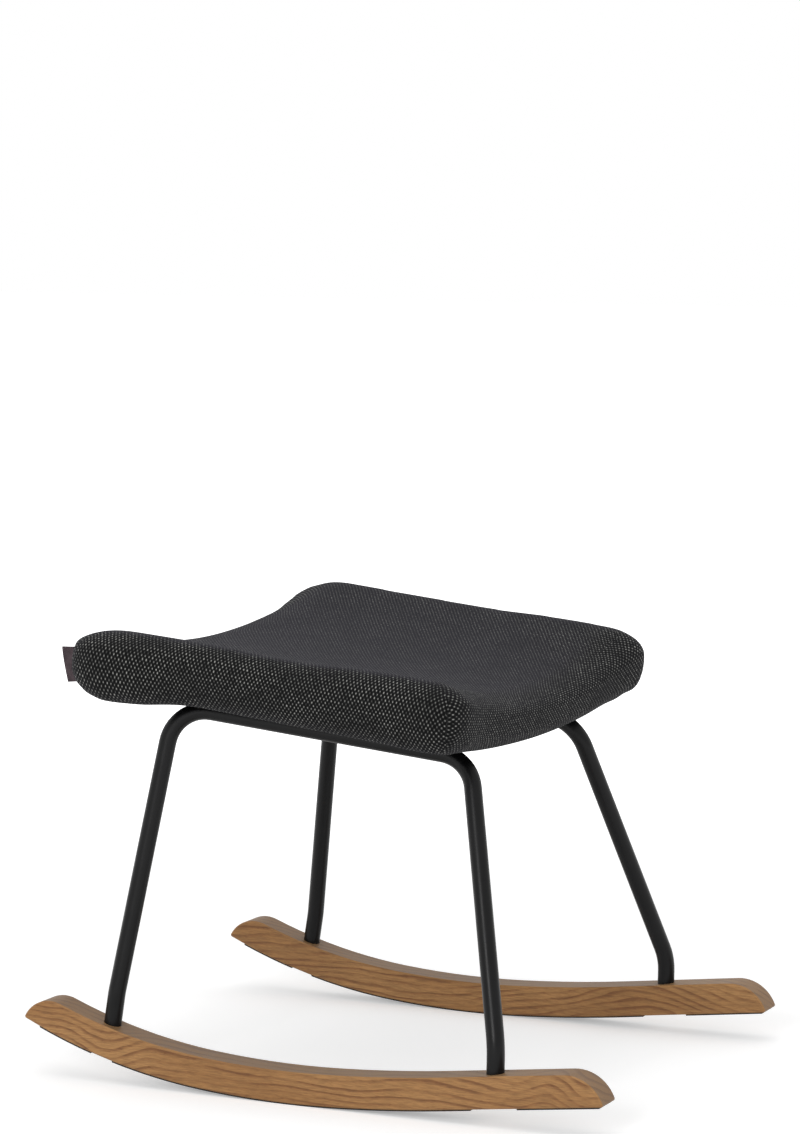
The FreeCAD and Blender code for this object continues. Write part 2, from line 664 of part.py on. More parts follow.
def screw_holes(name, base, radius, station=None):
    """Takes a round hole on the seat screws' axes out of an object, at one cross bar or at both."""
    for number, (point, upward) in enumerate(screw_axes(), start=1):
        if station is not None and abs(point.x - station) > size.bar_width / 2:
            continue
        tool = cylinder(f"{name}{number}", radius, "Sizes.screw_length", point, upward)
        base = cut(f"{name}Cut{number}", base, tool)
    return base


def dust_cloth():
    """A thin cloth under the seat that covers the hem's edge, with holes for the seat screws."""
    turned = size.hem_width - size.dust_overlap
    outline = plan_block("DustOutline", size.board_side_inset + turned, size.board_end_inset + turned,
                         "Sizes.board_round / 2", BLOCK_HEIGHT)
    layer = curved_layer("Dust", "0", "Sizes.dust_thickness", outline)
    holed = screw_holes("DustHole", layer, "Sizes.screw_diameter / 2 + Sizes.hole_clearance")
    holed.Placement = seat_place
    return keep(holed, "dust_cloth")


def seat_board():
    """The moulded board: an arc across, flat along, tapered in plan, with blind holes for the screws."""
    outline = plan_block("BoardOutline", size.board_side_inset, size.board_end_inset, "Sizes.board_round",
                         BLOCK_HEIGHT)
    layer = curved_layer("Board", BOARD_LEVEL, "Sizes.board_thickness", outline)
    holed = screw_holes("BoardHole", layer, "Sizes.screw_diameter / 2 + Sizes.thread_clearance")
    holed.Placement = seat_place
    return keep(holed, "seat_board")


def end_shape(distance, reach):
    """The share of the height left at a distance from the cushion's end, whose rounding has a reach."""
    if distance >= reach:
        return 1.0
    left = 1 - distance / reach
    return math.sqrt(1 - left * left * (1 - size.end_flat ** 2))


def corner_draw_in(distance, radius):
    """How much narrower each side of the cushion is at a distance from its end."""
    if distance >= radius:
        return 0.0
    return radius - math.sqrt(radius ** 2 - (radius - distance) ** 2)


def cushion_section(u, inset):
    """The closed wire of the cushion at u, drawn in by inset all round.

    The top is one hollow arc, the underside one full arc, and each side two round corners that meet a
    short upright line.
    """
    back_u, front_u = -size.cushion_back_u + inset, size.cushion_front_u - inset
    share = (u + size.cushion_back_u) / (size.cushion_back_u + size.cushion_front_u)

    def blend(back, front):
        return back + (front - back) * share

    half = half_width(u) - inset
    top_round = blend(size.back_top_round, size.front_top_round) - inset
    low_round = blend(size.back_low_round, size.front_low_round) - inset
    middle_u = (back_u + front_u) / 2
    crown = size.crown * (1 - ((u - middle_u) / (front_u - middle_u)) ** 2)
    centre_top = size.centre_height + crown - inset
    centre_low = size.dust_thickness + size.soft_gap + inset
    radius = size.underside_radius - centre_low
    reach = half - low_round
    low_centre = centre_low + radius - math.sqrt((radius - low_round) ** 2 - reach ** 2)
    bolster_low = low_centre - low_round
    bolster_top = low_centre + blend(size.back_side, size.front_side) + crown + top_round
    # towards an end the height shrinks to the middle level, at the centre line and at the bolsters alike
    distance = min(u - back_u, front_u - u)
    scale = end_shape(distance, size.end_round - inset)
    half -= corner_draw_in(distance, size.plan_round - inset)
    centre_middle = (centre_top + centre_low) / 2
    bolster_middle = (bolster_top + bolster_low) / 2
    centre_top = centre_middle + (centre_top - centre_middle) * scale
    centre_low = centre_middle - (centre_middle - centre_low) * scale
    bolster_top = bolster_middle + (bolster_top - bolster_middle) * scale
    bolster_low = bolster_middle - (bolster_middle - bolster_low) * scale
    top_round *= scale
    low_round *= scale
    top_level = bolster_top - top_round
    low_level = bolster_low + low_round
    top_reach = half - top_round
    rise = bolster_top - centre_top
    hollow = (top_reach ** 2 + (centre_top - top_level) ** 2 - top_round ** 2) / (2 * rise)
    low_reach = half - low_round
    sag = bolster_low - centre_low
    full = (low_reach ** 2 + (centre_low - low_level) ** 2 - low_round ** 2) / (2 * sag)
    hollow_centre = Vector(u, 0, centre_top + hollow)
    full_centre = Vector(u, 0, centre_low + full)
    edges = []
    far_top = Vector(u, top_reach, top_level)
    far_low = Vector(u, low_reach, low_level)
    near_top = Vector(u, -top_reach, top_level)
    near_low = Vector(u, -low_reach, low_level)

    def towards(origin, target, length):
        return origin + (target - origin).normalize() * length

    def corner(centre, radius, begin, end):
        bulge = ((begin - centre) + (end - centre)).normalize() * radius
        edges.append(Part.Arc(begin, centre + bulge, end).toShape())

    top_far = towards(hollow_centre, far_top, hollow)
    top_near = towards(hollow_centre, near_top, hollow)
    low_far = towards(full_centre, far_low, full)
    low_near = towards(full_centre, near_low, full)
    sides = {
        "far_high": Vector(u, half, top_level),
        "far_low": Vector(u, half, low_level),
        "near_low": Vector(u, -half, low_level),
        "near_high": Vector(u, -half, top_level),
    }
    edges.append(Part.Arc(top_near, Vector(u, 0, centre_top), top_far).toShape())
    corner(far_top, top_round, top_far, sides["far_high"])
    edges.append(Part.LineSegment(sides["far_high"], sides["far_low"]).toShape())
    corner(far_low, low_round, sides["far_low"], low_far)
    edges.append(Part.Arc(low_far, Vector(u, 0, centre_low), low_near).toShape())
    corner(near_low, low_round, low_near, sides["near_low"])
    edges.append(Part.LineSegment(sides["near_low"], sides["near_high"]).toShape())
    corner(near_top, top_round, sides["near_high"], top_near)
    return Part.Wire(edges)


def cushion_solid(name, inset):
    """The cushion drawn in by inset: a loft through its sections, closer together at the ends."""
    back_u, front_u = -size.cushion_back_u + inset, size.cushion_front_u - inset
    reach = size.end_round - inset
    stations = [back_u + reach * step for step in END_STEPS]
    stations += [back_u + reach + (front_u - back_u - 2 * reach) * step for step in MIDDLE_STEPS]
    stations += [front_u - reach * step for step in reversed(END_STEPS)]
    item = doc.addObject("Part::Feature", name)
    item.Shape = Part.makeLoft([cushion_section(u, inset) for u in stations], True, True)
    return item


def cushion_cover():
    """The woven cover: a skin round the cushion, open under the board inside its turned hem."""
    skin = cut("CoverSkin", cushion_solid("CoverOutside", 0.0),
               cushion_solid("CoverInside", size.cover_thickness))
    opening = plan_block("CoverOpening", size.board_side_inset + size.hem_width,
                         size.board_end_inset + size.hem_width, "Sizes.board_round / 2",
                         "Sizes.centre_height")
    cover = cut("Cover", skin, opening)
    cover.Placement = seat_place
    return keep(cover, "cushion_cover")


def seat_foam():
    """The foam: it fills the cover and has the board let into its underside."""
    gap = size.soft_gap
    block = cushion_solid("FoamBlock", size.cover_thickness + gap)
    outline = plan_block("FoamPocket", size.board_side_inset - gap, size.board_end_inset - gap,
                         "Sizes.board_round", BLOCK_HEIGHT)
    room = curved_layer("FoamRoom", "-Sizes.board_thickness",
                        f"2 * Sizes.board_thickness + {BOARD_LEVEL} + Sizes.soft_gap", outline)
    foam = cut("Foam", block, room)
    foam.Placement = seat_place
    return keep(foam, "seat_foam")


def fabric_tab():
    """A small doubled tab of plain fabric, sewn in at the cushion's back near corner."""
    plate = doc.addObject("Part::Box", "FabricTabPlate")
    bind(plate, Length="Sizes.fabric_tab_reach + Sizes.end_round / 2", Width="Sizes.fabric_tab_thickness",
         Height="Sizes.fabric_tab_height")
    plate.Placement.Base = Vector(
        -size.cushion_back_u - size.fabric_tab_reach,
        -half_width(-size.cushion_back_u) + size.fabric_tab_inset,
        size.fabric_tab_level - size.fabric_tab_height / 2,
    )
    trimmed = cut("FabricTab", plate, cushion_solid("FabricTabRoot", -size.soft_gap))
    trimmed.Placement = seat_place
    return keep(trimmed, "cover_tab")


def hexagon(name, circumradius, height, level):
    """A hexagonal prism, standing on a level."""
    item = doc.addObject("Part::Prism", name)
    item.Polygon = 6
    bind(item, Circumradius=circumradius, Height=height)
    item.Placement.Base = Vector(0, 0, level)
    return item


def hex_screw(name, diameter, length, head, head_height):
    """A hexagon head screw that points up from zero, its head below zero. Its sizes are sheet names."""
    shank = cylinder(f"{name}Shank", f"Sizes.{diameter} / 2", f"Sizes.{length}")
    top = hexagon(f"{name}Head", f"Sizes.{head} / 2", f"Sizes.{head_height}", -getattr(size, head_height))
    return fuse(name, [shank, top])


def group(name, label, pattern, places):
    """Copies of one fixing, as separate solids of one sub-part."""
    doc.recompute()
    item = doc.addObject("Part::Feature", name)
    copies = []
    for place in places:
        copy = pattern.Shape.copy()
        copy.Placement = place * copy.Placement
        copies.append(copy)
    item.Shape = Part.makeCompound(copies)
    return keep(item, label)


def foot_places(level):
    """Where a fixing goes at each foot, at a level along the foot's axis from the rocker's top."""
    places = []
    for side in (NEAR, FAR):
        for end in (BACK, FRONT):
            top, upward = foot_axis(end)
            base = Vector(-origin_x, side * size.rocker_spacing / 2, 0) + top + upward * level
            places.append(Placement(base, Rotation(UP, upward)))
    return places


def seat_places(level):
    """Where a fixing goes on each seat screw's axis, at a level up from its cross bar's lower face."""
    return [
        seat_place * Placement(point + upward * level, Rotation(UP, upward))
        for point, upward in screw_axes()
    ]


def foot_fixings():
    """The bolts and washers that hold the tubes' threaded ends to the rockers."""
    under_washer = -size.socket_depth - size.clamped_wood - size.washer_thickness
    disc = cylinder("FootWasherDisc", "Sizes.foot_washer / 2", "Sizes.washer_thickness")
    hole = cylinder("FootWasherHole", "Sizes.bolt_diameter / 2 + Sizes.hole_clearance",
                    "Sizes.washer_thickness")
    bolt = hex_screw("FootBolt", "bolt_diameter", "bolt_length", "bolt_head", "bolt_head_height")
    group("FootWashers", "foot_washers", cut("FootWasher", disc, hole), foot_places(under_washer))
    group("FootBolts", "foot_bolts", bolt, foot_places(under_washer))


def seat_fixings():
    """The screws that hold the board to the cross bars."""
    screw = hex_screw("SeatScrew", "screw_diameter", "screw_length", "screw_head", "screw_head_height")
    group("SeatScrews", "seat_screws", screw, seat_places(0.0))


def build():
    """Builds every sub-part."""
    for side in (NEAR, FAR):
        rocker(side)
        glides(side)
        side_frame(side)
    for name, u in bar_stations().items():
        cross_bar(name, u)
    dust_cloth()
    seat_board()
    seat_foam()
    cushion_cover()
    fabric_tab()
    foot_fixings()
    seat_fixings()
    doc.recompute()


def check():
    """Stops before anything is written if an object failed or a sub-part isn't sound."""
    for item in doc.Objects:
        if "Invalid" in item.State or "Error" in item.State:
            raise RuntimeError(f"{item.Label} failed: {item.State}")
    for item in sub_parts:
        if item.Shape.isNull() or not item.Shape.isValid():
            raise RuntimeError(f"{item.Label} isn't a sound shape")
        if not item.Shape.Solids:
            raise RuntimeError(f"{item.Label} has no solid")


def write():
    """Writes one STEP file per sub-part."""
    os.makedirs("parts", exist_ok=True)
    for item in sub_parts:
        item.Shape.exportStep(f"parts/{item.Label}.step")


build()
check()
write()
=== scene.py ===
"""Rocking footstool, dressed.

A saddle cushion in dark hopsack rests on two black steel tube arches, which stand on two oak rockers.
Everything is in metres in the stool's own frame: +X to the front, +Y to the far side, +Z up. The seat has
a frame of its own, tilted nose down: u runs forward, v across and w up from the lowest point of the seat's
underside.
"""
import logging
import math
from contextlib import contextmanager
from dataclasses import dataclass, field
from enum import Enum
from functools import partial
from typing import Callable, Iterator

import bpy
import numpy as np
from mathutils import Matrix, Vector


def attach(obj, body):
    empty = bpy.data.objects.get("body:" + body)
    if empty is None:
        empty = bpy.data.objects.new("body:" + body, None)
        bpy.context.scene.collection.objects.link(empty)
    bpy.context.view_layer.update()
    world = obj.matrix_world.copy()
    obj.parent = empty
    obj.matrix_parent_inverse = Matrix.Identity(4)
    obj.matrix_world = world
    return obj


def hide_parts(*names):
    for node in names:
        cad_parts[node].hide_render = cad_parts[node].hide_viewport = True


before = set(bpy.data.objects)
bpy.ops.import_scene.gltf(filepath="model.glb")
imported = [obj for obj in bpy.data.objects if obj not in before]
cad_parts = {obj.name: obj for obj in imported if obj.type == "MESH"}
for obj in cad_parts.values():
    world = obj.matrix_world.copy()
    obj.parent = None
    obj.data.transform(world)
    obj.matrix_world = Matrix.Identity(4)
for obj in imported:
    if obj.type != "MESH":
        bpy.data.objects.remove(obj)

log = logging.getLogger("footstool")

Pair = tuple[float, float]
Spans = tuple[Pair, Pair]
Triple = tuple[float, float, float]
Colour = tuple[float, float, float, float]
Piece = bpy.types.Object
Material = bpy.types.Material
Socket = bpy.types.NodeSocket

BODY = "root"
MERGE_DISTANCE = 0.00001
WHITE = (1.0, 1.0, 1.0, 1.0)
# most of a noise texture's values lie between these
NOISE_SPAN = (0.3, 0.7)
# where a mix node of colours has its share, its two colours and its result
MIX_INPUTS = (0, 6, 7)
MIX_OUTPUT = 2


class Side(Enum):
    """The two sides of the stool, with the sign of their y."""

    NEAR = -1
    FAR = 1


class Coords(Enum):
    """Where a finish takes its pattern's place from."""

    OBJECT = "Object"
    UV = "UV"


def linear(red: float, green: float, blue: float) -> Colour:
    """A colour as seen on a screen, from 0 to 255, as the linear value that a shader takes.

    Args:
        red: The red part.
        green: The green part.
        blue: The blue part.

    Returns:
        The colour with an opacity of 1.
    """
    knee, slope = 0.04045, 12.92
    offset, gain, power = 0.055, 1.055, 2.4
    shades = [value / 255 for value in (red, green, blue)]
    parts = [shade / slope if shade <= knee else ((shade + offset) / gain) ** power for shade in shades]
    return *parts, 1.0


class Nodes:
    """The nodes of a material or of the world, under construction."""

    def __init__(self, owner: Material | bpy.types.World) -> None:
        """Turns on the owner's nodes."""
        owner.use_nodes = True
        self.tree = owner.node_tree

    def node(self, kind: str, inputs: dict | None = None, **settings: object) -> bpy.types.Node:
        """Adds a node, sets its properties and feeds its inputs.

        Args:
            kind: The node's type.
            inputs: A value or another node's output for each input, by name or number.
            settings: The node's own properties.

        Returns:
            The new node.
        """
        made = self.tree.nodes.new(kind)
        for name, value in settings.items():
            setattr(made, name, value)
        for name, value in (inputs or {}).items():
            self.feed(made.inputs[name], value)
        return made

    def feed(self, socket: Socket, value: object) -> None:
        """Links an output to a socket, or sets the socket's own value."""
        if isinstance(value, Socket):
            self.tree.links.new(value, socket)
        else:
            socket.default_value = value

    def place(self, source: Coords, scale: Triple = (1, 1, 1), shift: Triple = (0, 0, 0)) -> Socket:
        """The pattern's coordinates, scaled and shifted.

        Args:
            source: Object coordinates or the piece's UV map.
            scale: How many pattern units go to a metre, along each axis.
            shift: Shift after the scale.

        Returns:
            The mapped vector.
        """
        coords = self.node("ShaderNodeTexCoord")
        inputs = {"Vector": coords.outputs[source.value], "Scale": scale, "Location": shift}
        return self.node("ShaderNodeMapping", inputs).outputs["Vector"]

    def parts(self, vector: Socket) -> bpy.types.NodeOutputs:
        """A vector's X, Y and Z."""
        return self.node("ShaderNodeSeparateXYZ", {"Vector": vector}).outputs

    def facing(self) -> bpy.types.NodeOutputs:
        """The X, Y and Z of the way that the surface faces."""
        return self.parts(self.node("ShaderNodeNewGeometry").outputs["Normal"])

    def maths(self, operation: str, *values: object) -> Socket:
        """The result of a math node on one to three values."""
        return self.node("ShaderNodeMath", dict(enumerate(values)), operation=operation).outputs[0]

    def times(self, first: object, second: object) -> Socket:
        """The product of two values."""
        return self.maths("MULTIPLY", first, second)

    def noise(self, vector: Socket, scale: float, **shape: float) -> Socket:
        """A noise texture's grey value, with its detail, roughness or distortion where one is given."""
        inputs = {"Vector": vector, "Scale": scale} | {name.title(): value for name, value in shape.items()}
        return self.node("ShaderNodeTexNoise", inputs).outputs["Fac"]

    def stretched(self, source: Coords, scale: Triple, shift: Triple = (0, 0, 0), **shape: float) -> Socket:
        """A noise texture's grey value, with its own scale along each axis."""
        return self.noise(self.place(source, scale, shift), 1.0, **shape)

    def between(self, value: object, low: float, high: float, start: float = 0.0, end: float = 1.0) -> Socket:
        """A value eased from start to end as it goes from low to high."""
        inputs = {"Value": value, "From Min": low, "From Max": high, "To Min": start, "To Max": end}
        return self.node("ShaderNodeMapRange", inputs, interpolation_type="SMOOTHSTEP").outputs["Result"]

    def blend(self, share: object, first: object, second: object, mode: str = "MIX") -> Socket:
        """Two colours mixed by a share."""
        inputs = dict(zip(MIX_INPUTS, (share, first, second)))
        return self.node("ShaderNodeMix", inputs, data_type="RGBA", blend_type=mode).outputs[MIX_OUTPUT]

    def seen(self) -> Socket:
        """One for a ray from the camera, a reflection or glass, and zero for the light on the stool."""
        path = self.node("ShaderNodeLightPath").outputs
        direct = self.maths("MAXIMUM", path["Is Camera Ray"], path["Is Glossy Ray"])
        return self.maths("MAXIMUM", direct, path["Is Transmission Ray"])

    def bump(self, height: object, distance: float, strength: float) -> Socket:
        """A normal bent by a height times a distance in metres."""
        inputs = {"Height": height, "Distance": distance, "Strength": strength}
        return self.node("ShaderNodeBump", inputs).outputs["Normal"]


class Shader(Nodes):
    """A node material under construction, with one principled surface."""

    def __init__(self, name: str) -> None:
        """Starts a material of this name with a principled surface and an output."""
        self.material = bpy.data.materials.new(name)
        super().__init__(self.material)
        self.tree.nodes.clear()
        self.output = self.node("ShaderNodeOutputMaterial")
        self.surface = self.node("ShaderNodeBsdfPrincipled")
        self.feed(self.output.inputs["Surface"], self.surface.outputs["BSDF"])

    def finish(self, **inputs: object) -> Material:
        """Feeds the surface's inputs, whose names are written with underscores, and gives the material."""
        for name, value in inputs.items():
            self.feed(self.surface.inputs[name.replace("_", " ")], value)
        return self.material


@dataclass(frozen=True)
class OakFinish:
    """Oiled oak, sawn on the flat: long wavy rings that open into arches, fine fibres and dark pores.

    A scale stretches a noise along the stool's axes. A hump lifts the rings near one place on the rocker: it
    has that place, half of its width, and its height in rings.
    """

    name: str
    shift: Triple
    humps: tuple[Triple, ...]
    light: Colour = linear(165, 122, 75)
    middle: Colour = linear(148, 106, 62)
    dark: Colour = linear(104, 62, 32)
    grey: Colour = linear(116, 95, 71)
    ring_pitch: float = 0.0064
    ring_lean: float = 0.55
    swell_scale: Triple = (4.0, 9.0, 11.0)
    swell_rings: float = 8.0
    ripple_scale: Triple = (15.0, 16.0, 42.0)
    ripple_rings: float = 1.5
    late_rise: Pair = (0.42, 0.86)
    late_fall: Pair = (1.0, 0.93)
    uneven_scale: Triple = (16.0, 30.0, 120.0)
    fibre_scale: Triple = (75.0, 900.0, 900.0)
    fibre_tones: Pair = (0.78, 1.16)
    pore_scale: Triple = (170.0, 1000.0, 1000.0)
    pore_span: Pair = (0.58, 0.68)
    patch_scale: Triple = (7.0, 12.0, 20.0)
    late_share: float = 0.74
    pore_share: float = 0.55
    grey_share: float = 0.55
    # how strongly the painted edge highlight lightens the chamfers
    edge_highlight_share: float = 0.35
    rough: Pair = (0.44, 0.58)
    relief: float = 0.00012

    def material(self) -> Material:
        """Builds the material.

        Returns:
            The finished material.
        """
        shader = Shader(self.name)
        noise = partial(shader.stretched, Coords.OBJECT, shift=self.shift)
        late = self.late_wood(shader, noise)
        fibre = noise(self.fibre_scale, detail=3.0, roughness=0.6)
        pores = shader.between(noise(self.pore_scale, detail=1.0), *self.pore_span)
        pores = shader.times(pores, shader.between(late, 0.0, 0.8, 0.35, 1.0))
        patch = noise(self.patch_scale)
        colour = shader.blend(shader.between(patch, *NOISE_SPAN), self.middle, self.light)
        colour = shader.blend(shader.times(late, self.late_share), colour, self.dark)
        tone = shader.between(fibre, *NOISE_SPAN, *self.fibre_tones)
        grain = shader.node("ShaderNodeCombineColor", {"Red": tone, "Green": tone, "Blue": tone})
        colour = shader.blend(1.0, colour, grain.outputs["Color"], "MULTIPLY")
        colour = shader.blend(shader.times(pores, self.pore_share), colour, self.dark)
        # the top and the noses, cut across the rays, are greyer than the sides
        sideways = shader.maths("ABSOLUTE", shader.facing()["Y"])
        colour = shader.blend(shader.between(sideways, 0.75, 0.3, 0.0, self.grey_share), colour, self.grey)
        # painted highlight: the edges between them are lightened toward the light tone where a chamfer would
        # catch the light
        wear_and_edge_highlight = shader.times(shader.between(sideways, 0.35, 0.6), shader.between(sideways, 0.97, 0.8))
        colour = shader.blend(shader.times(wear_and_edge_highlight, self.edge_highlight_share), colour, self.light)
        height = shader.maths("SUBTRACT", shader.maths("MULTIPLY_ADD", late, -0.15, fibre), pores)
        rough = shader.between(fibre, 0.2, 0.8, *self.rough)
        return shader.finish(Base_Color=colour, Roughness=rough, Specular_IOR_Level=0.35,
                             Normal=shader.bump(height, self.relief, 0.6))

    def late_wood(self, shader: Shader, noise: Callable[..., Socket]) -> Socket:
        """How dark each point is as its ring's late wood.

        Args:
            shader: The material under construction.
            noise: Makes a noise with its own scale along each axis.

        Returns:
            Zero in early wood, and up to one at a ring's sharp outer edge.
        """
        # the trunk's rings, seen on a long cut: their height swells and dips slowly along the rocker
        swell = noise(self.swell_scale, detail=1.0, roughness=0.4)
        place = shader.parts(shader.place(Coords.OBJECT))
        depth = shader.maths("MULTIPLY_ADD", place["Y"], self.ring_lean, place["Z"])
        rings = shader.maths("DIVIDE", depth, self.ring_pitch)
        rings = shader.maths("MULTIPLY_ADD", swell, self.swell_rings, rings)
        rings = shader.maths("MULTIPLY_ADD", noise(self.ripple_scale), self.ripple_rings, rings)
        for middle, half_width, height in self.humps:
            away = shader.maths("ABSOLUTE", shader.maths("SUBTRACT", place["X"], middle))
            rings = shader.maths("ADD", rings, shader.between(away, 0.0, half_width, -height, 0.0))
        # a ring darkens slowly and ends at a sharp late edge
        phase = shader.maths("FRACT", rings)
        late = shader.times(shader.between(phase, *self.late_rise), shader.between(phase, *self.late_fall))
        uneven = noise(self.uneven_scale, detail=1.0)
        return shader.times(late, shader.between(uneven, 0.3, 0.65, 0.25, 1.0))


@dataclass(frozen=True)
class PowderCoat:
    """Satin black powder coat on steel, with a fine orange peel."""

    name: str = "black_powder_coat"
    colour: Colour = linear(9, 9, 10)
    wear_and_edge_highlight: Colour = linear(14, 14, 15)
    peel_scale: float = 900.0
    cloud_scale: float = 35.0
    rough: Pair = (0.30, 0.38)
    relief: float = 0.00006

    def material(self) -> Material:
        """Builds the material.

        Returns:
            The finished material.
        """
        shader = Shader(self.name)
        place = shader.place(Coords.OBJECT)
        peel = shader.noise(place, self.peel_scale)
        cloud = shader.noise(place, self.cloud_scale, detail=3.0)
        colour = shader.blend(shader.between(cloud, 0.35, 0.7), self.colour, self.wear_and_edge_highlight)
        rough = shader.between(cloud, *NOISE_SPAN, *self.rough)
        return shader.finish(Base_Color=colour, Roughness=rough, Specular_IOR_Level=0.2,
                             Normal=shader.bump(peel, self.relief, 0.5))


@dataclass(frozen=True)
class ZincPlate:
    """Dull zinc plate with a fine cloudy tone."""

    name: str = "zinc_plate"
    bright: Colour = linear(196, 196, 200)
    dull: Colour = linear(158, 159, 162)
    cloud_scale: float = 260.0
    rough: Pair = (0.3, 0.5)
    relief: float = 0.00005

    def material(self) -> Material:
        """Builds the material.

        Returns:
            The finished material.
        """
        shader = Shader(self.name)
        cloud = shader.noise(shader.place(Coords.OBJECT), self.cloud_scale, detail=4.0, roughness=0.65)
        colour = shader.blend(shader.between(cloud, 0.35, 0.65), self.dull, self.bright)
        rough = shader.between(cloud, *NOISE_SPAN, *self.rough)
        return shader.finish(Base_Color=colour, Roughness=rough, Metallic=1.0,
                             Normal=shader.bump(cloud, self.relief, 0.5))


@dataclass(frozen=True)
class GlideRubber:
    """Thin dark rubbery strip with a grained face, scuffed a little."""

    name: str = "glide_rubber"
    colour: Colour = linear(38, 34, 33)
    scuffed: Colour = linear(62, 56, 53)
    grain_scale: float = 1400.0
    scuff_scale: Triple = (60.0, 400.0, 60.0)
    relief: float = 0.00008

    def material(self) -> Material:
        """Builds the material.

        Returns:
            The finished material.
        """
        shader = Shader(self.name)
        grain = shader.noise(shader.place(Coords.OBJECT), self.grain_scale)
        scuffs = shader.stretched(Coords.OBJECT, self.scuff_scale, detail=4.0, roughness=0.7)
        colour = shader.blend(shader.between(scuffs, 0.55, 0.75), self.colour, self.scuffed)
        return shader.finish(Base_Color=colour, Roughness=0.8, Specular_IOR_Level=0.3,
                             Normal=shader.bump(grain, self.relief, 0.6))


@dataclass(frozen=True)
class PlywoodFinish:
    """Moulded birch plywood: pale face veneer and thin dark glue lines at its edge."""

    name: str = "birch_plywood"
    face: Colour = linear(205, 178, 138)
    streak: Colour = linear(182, 150, 108)
    glue: Colour = linear(118, 88, 58)
    grain_scale: Triple = (9.0, 260.0, 9.0)
    ply: float = 0.0015
    relief: float = 0.00008

    def material(self) -> Material:
        """Builds the material.

        Returns:
            The finished material.
        """
        shader = Shader(self.name)
        grain = shader.stretched(Coords.OBJECT, self.grain_scale, detail=4.0, distortion=0.4)
        colour = shader.blend(shader.between(grain, 0.4, 0.65), self.face, self.streak)
        depth = shader.parts(shader.place(Coords.OBJECT))["Z"]
        layer = shader.maths("FRACT", shader.maths("DIVIDE", depth, self.ply))
        edge = shader.between(shader.maths("ABSOLUTE", shader.facing()["Z"]), 0.6, 0.3)
        lines = shader.times(shader.between(layer, 0.8, 0.95), edge)
        colour = shader.blend(lines, colour, self.glue)
        return shader.finish(Base_Color=colour, Roughness=0.62, Normal=shader.bump(grain, self.relief, 0.5))


@dataclass(frozen=True)
class HopsackFinish:
    """Charcoal hopsack: pale flecks of doubled yarn in staggered rows, with near-black gaps between."""

    name: str = "charcoal_hopsack"
    along: float = 0.00355
    across: float = 0.0056
    sway: float = 0.0011
    sway_scale: float = 90.0
    weft_shift: Triple = (7.3, 2.1, 0.0)
    uneven: float = 0.9
    uneven_scale: float = 330.0
    broad_scale: float = 28.0
    slub_scale: Triple = (60.0, 420.0, 1.0)
    fuzz: float = 0.25
    fuzz_scale: float = 2600.0
    relief: float = 0.00035
    gap: Colour = linear(6, 6, 6)
    yarn: Colour = linear(38, 38, 38)
    fleck: Colour = linear(168, 168, 163)
    # painted sheen: the purple grey that the upward faces are blended toward
    painted_sheen_grey: Colour = linear(43, 42, 48)
    sheen: Colour = linear(190, 188, 205)

    def material(self) -> Material:
        """Builds the material on the cushion's own UV map, whose units are metres of cloth.

        Returns:
            The finished material.
        """
        shader = Shader(self.name)
        cloth = shader.place(Coords.UV)
        split = shader.parts(cloth)
        warp_sway = shader.noise(cloth, self.sway_scale)
        weft_sway = shader.noise(shader.place(Coords.UV, shift=self.weft_shift), self.sway_scale)
        warp = shader.maths("MULTIPLY_ADD", warp_sway, self.sway, split["X"])
        weft = shader.maths("MULTIPLY_ADD", weft_sway, self.sway, split["Y"])
        # one where a fleck stands and minus one in a gap, on a staggered grid
        lattice = shader.times(shader.maths("COSINE", shader.times(warp, math.tau / self.along)),
                               shader.maths("COSINE", shader.times(weft, math.tau / self.across)))
        cell = shader.noise(cloth, self.uneven_scale, detail=0.0)
        broad = shader.noise(cloth, self.broad_scale, detail=3.0, roughness=0.6)
        slub = shader.stretched(Coords.UV, self.slub_scale)
        lifted = shader.maths("MULTIPLY_ADD", shader.maths("SUBTRACT", cell, 0.5), self.uneven, lattice)
        peak = shader.between(lifted, 0.48, 1.05)
        peak = shader.times(peak, shader.between(broad, *NOISE_SPAN, 0.45, 1.0))
        peak = shader.times(peak, shader.between(slub, 0.3, 0.65, 0.5, 1.0))
        colour = shader.blend(shader.between(lifted, -0.4, 0.45), self.gap, self.yarn)
        colour = shader.blend(peak, colour, self.fleck)
        # painted sheen: the face that looks up is blended toward a purple grey that stands in for light
        # grazing off the nap
        painted_sheen_mask = shader.between(shader.facing()["Z"], 0.93, 1.0, 0.0, 0.5)
        colour = shader.blend(painted_sheen_mask, colour, self.painted_sheen_grey)
        height = shader.maths("MULTIPLY_ADD", shader.noise(cloth, self.fuzz_scale), self.fuzz, lifted)
        return shader.finish(Base_Color=colour, Roughness=0.92, Specular_IOR_Level=0.12, Sheen_Weight=0.05,
                             Sheen_Roughness=0.5, Sheen_Tint=self.sheen,
                             Normal=shader.bump(height, self.relief, 0.75))


@dataclass(frozen=True)
class PlainWeave:
    """A plain cloth, with its own colours and thread size."""

    name: str
    dark: Colour
    light: Colour
    thread: float
    relief: float
    cloud_scale: float = 70.0

    def material(self) -> Material:
        """Builds the material on the piece's own UV map, whose units are metres of cloth.

        Returns:
            The finished material.
        """
        shader = Shader(self.name)
        cloth = shader.place(Coords.UV)
        split = shader.parts(cloth)
        turn = math.pi / self.thread
        weave = shader.times(shader.maths("SINE", shader.times(split["X"], turn)),
                             shader.maths("SINE", shader.times(split["Y"], turn)))
        cloud = shader.noise(cloth, self.cloud_scale, detail=4.0, roughness=0.6)
        mixed = shader.maths("MULTIPLY_ADD", weave, 0.25, cloud)
        colour = shader.blend(shader.between(mixed, 0.25, 0.75), self.dark, self.light)
        return shader.finish(Base_Color=colour, Roughness=0.9, Specular_IOR_Level=0.15, Sheen_Weight=0.1,
                             Normal=shader.bump(weave, self.relief, 0.6))


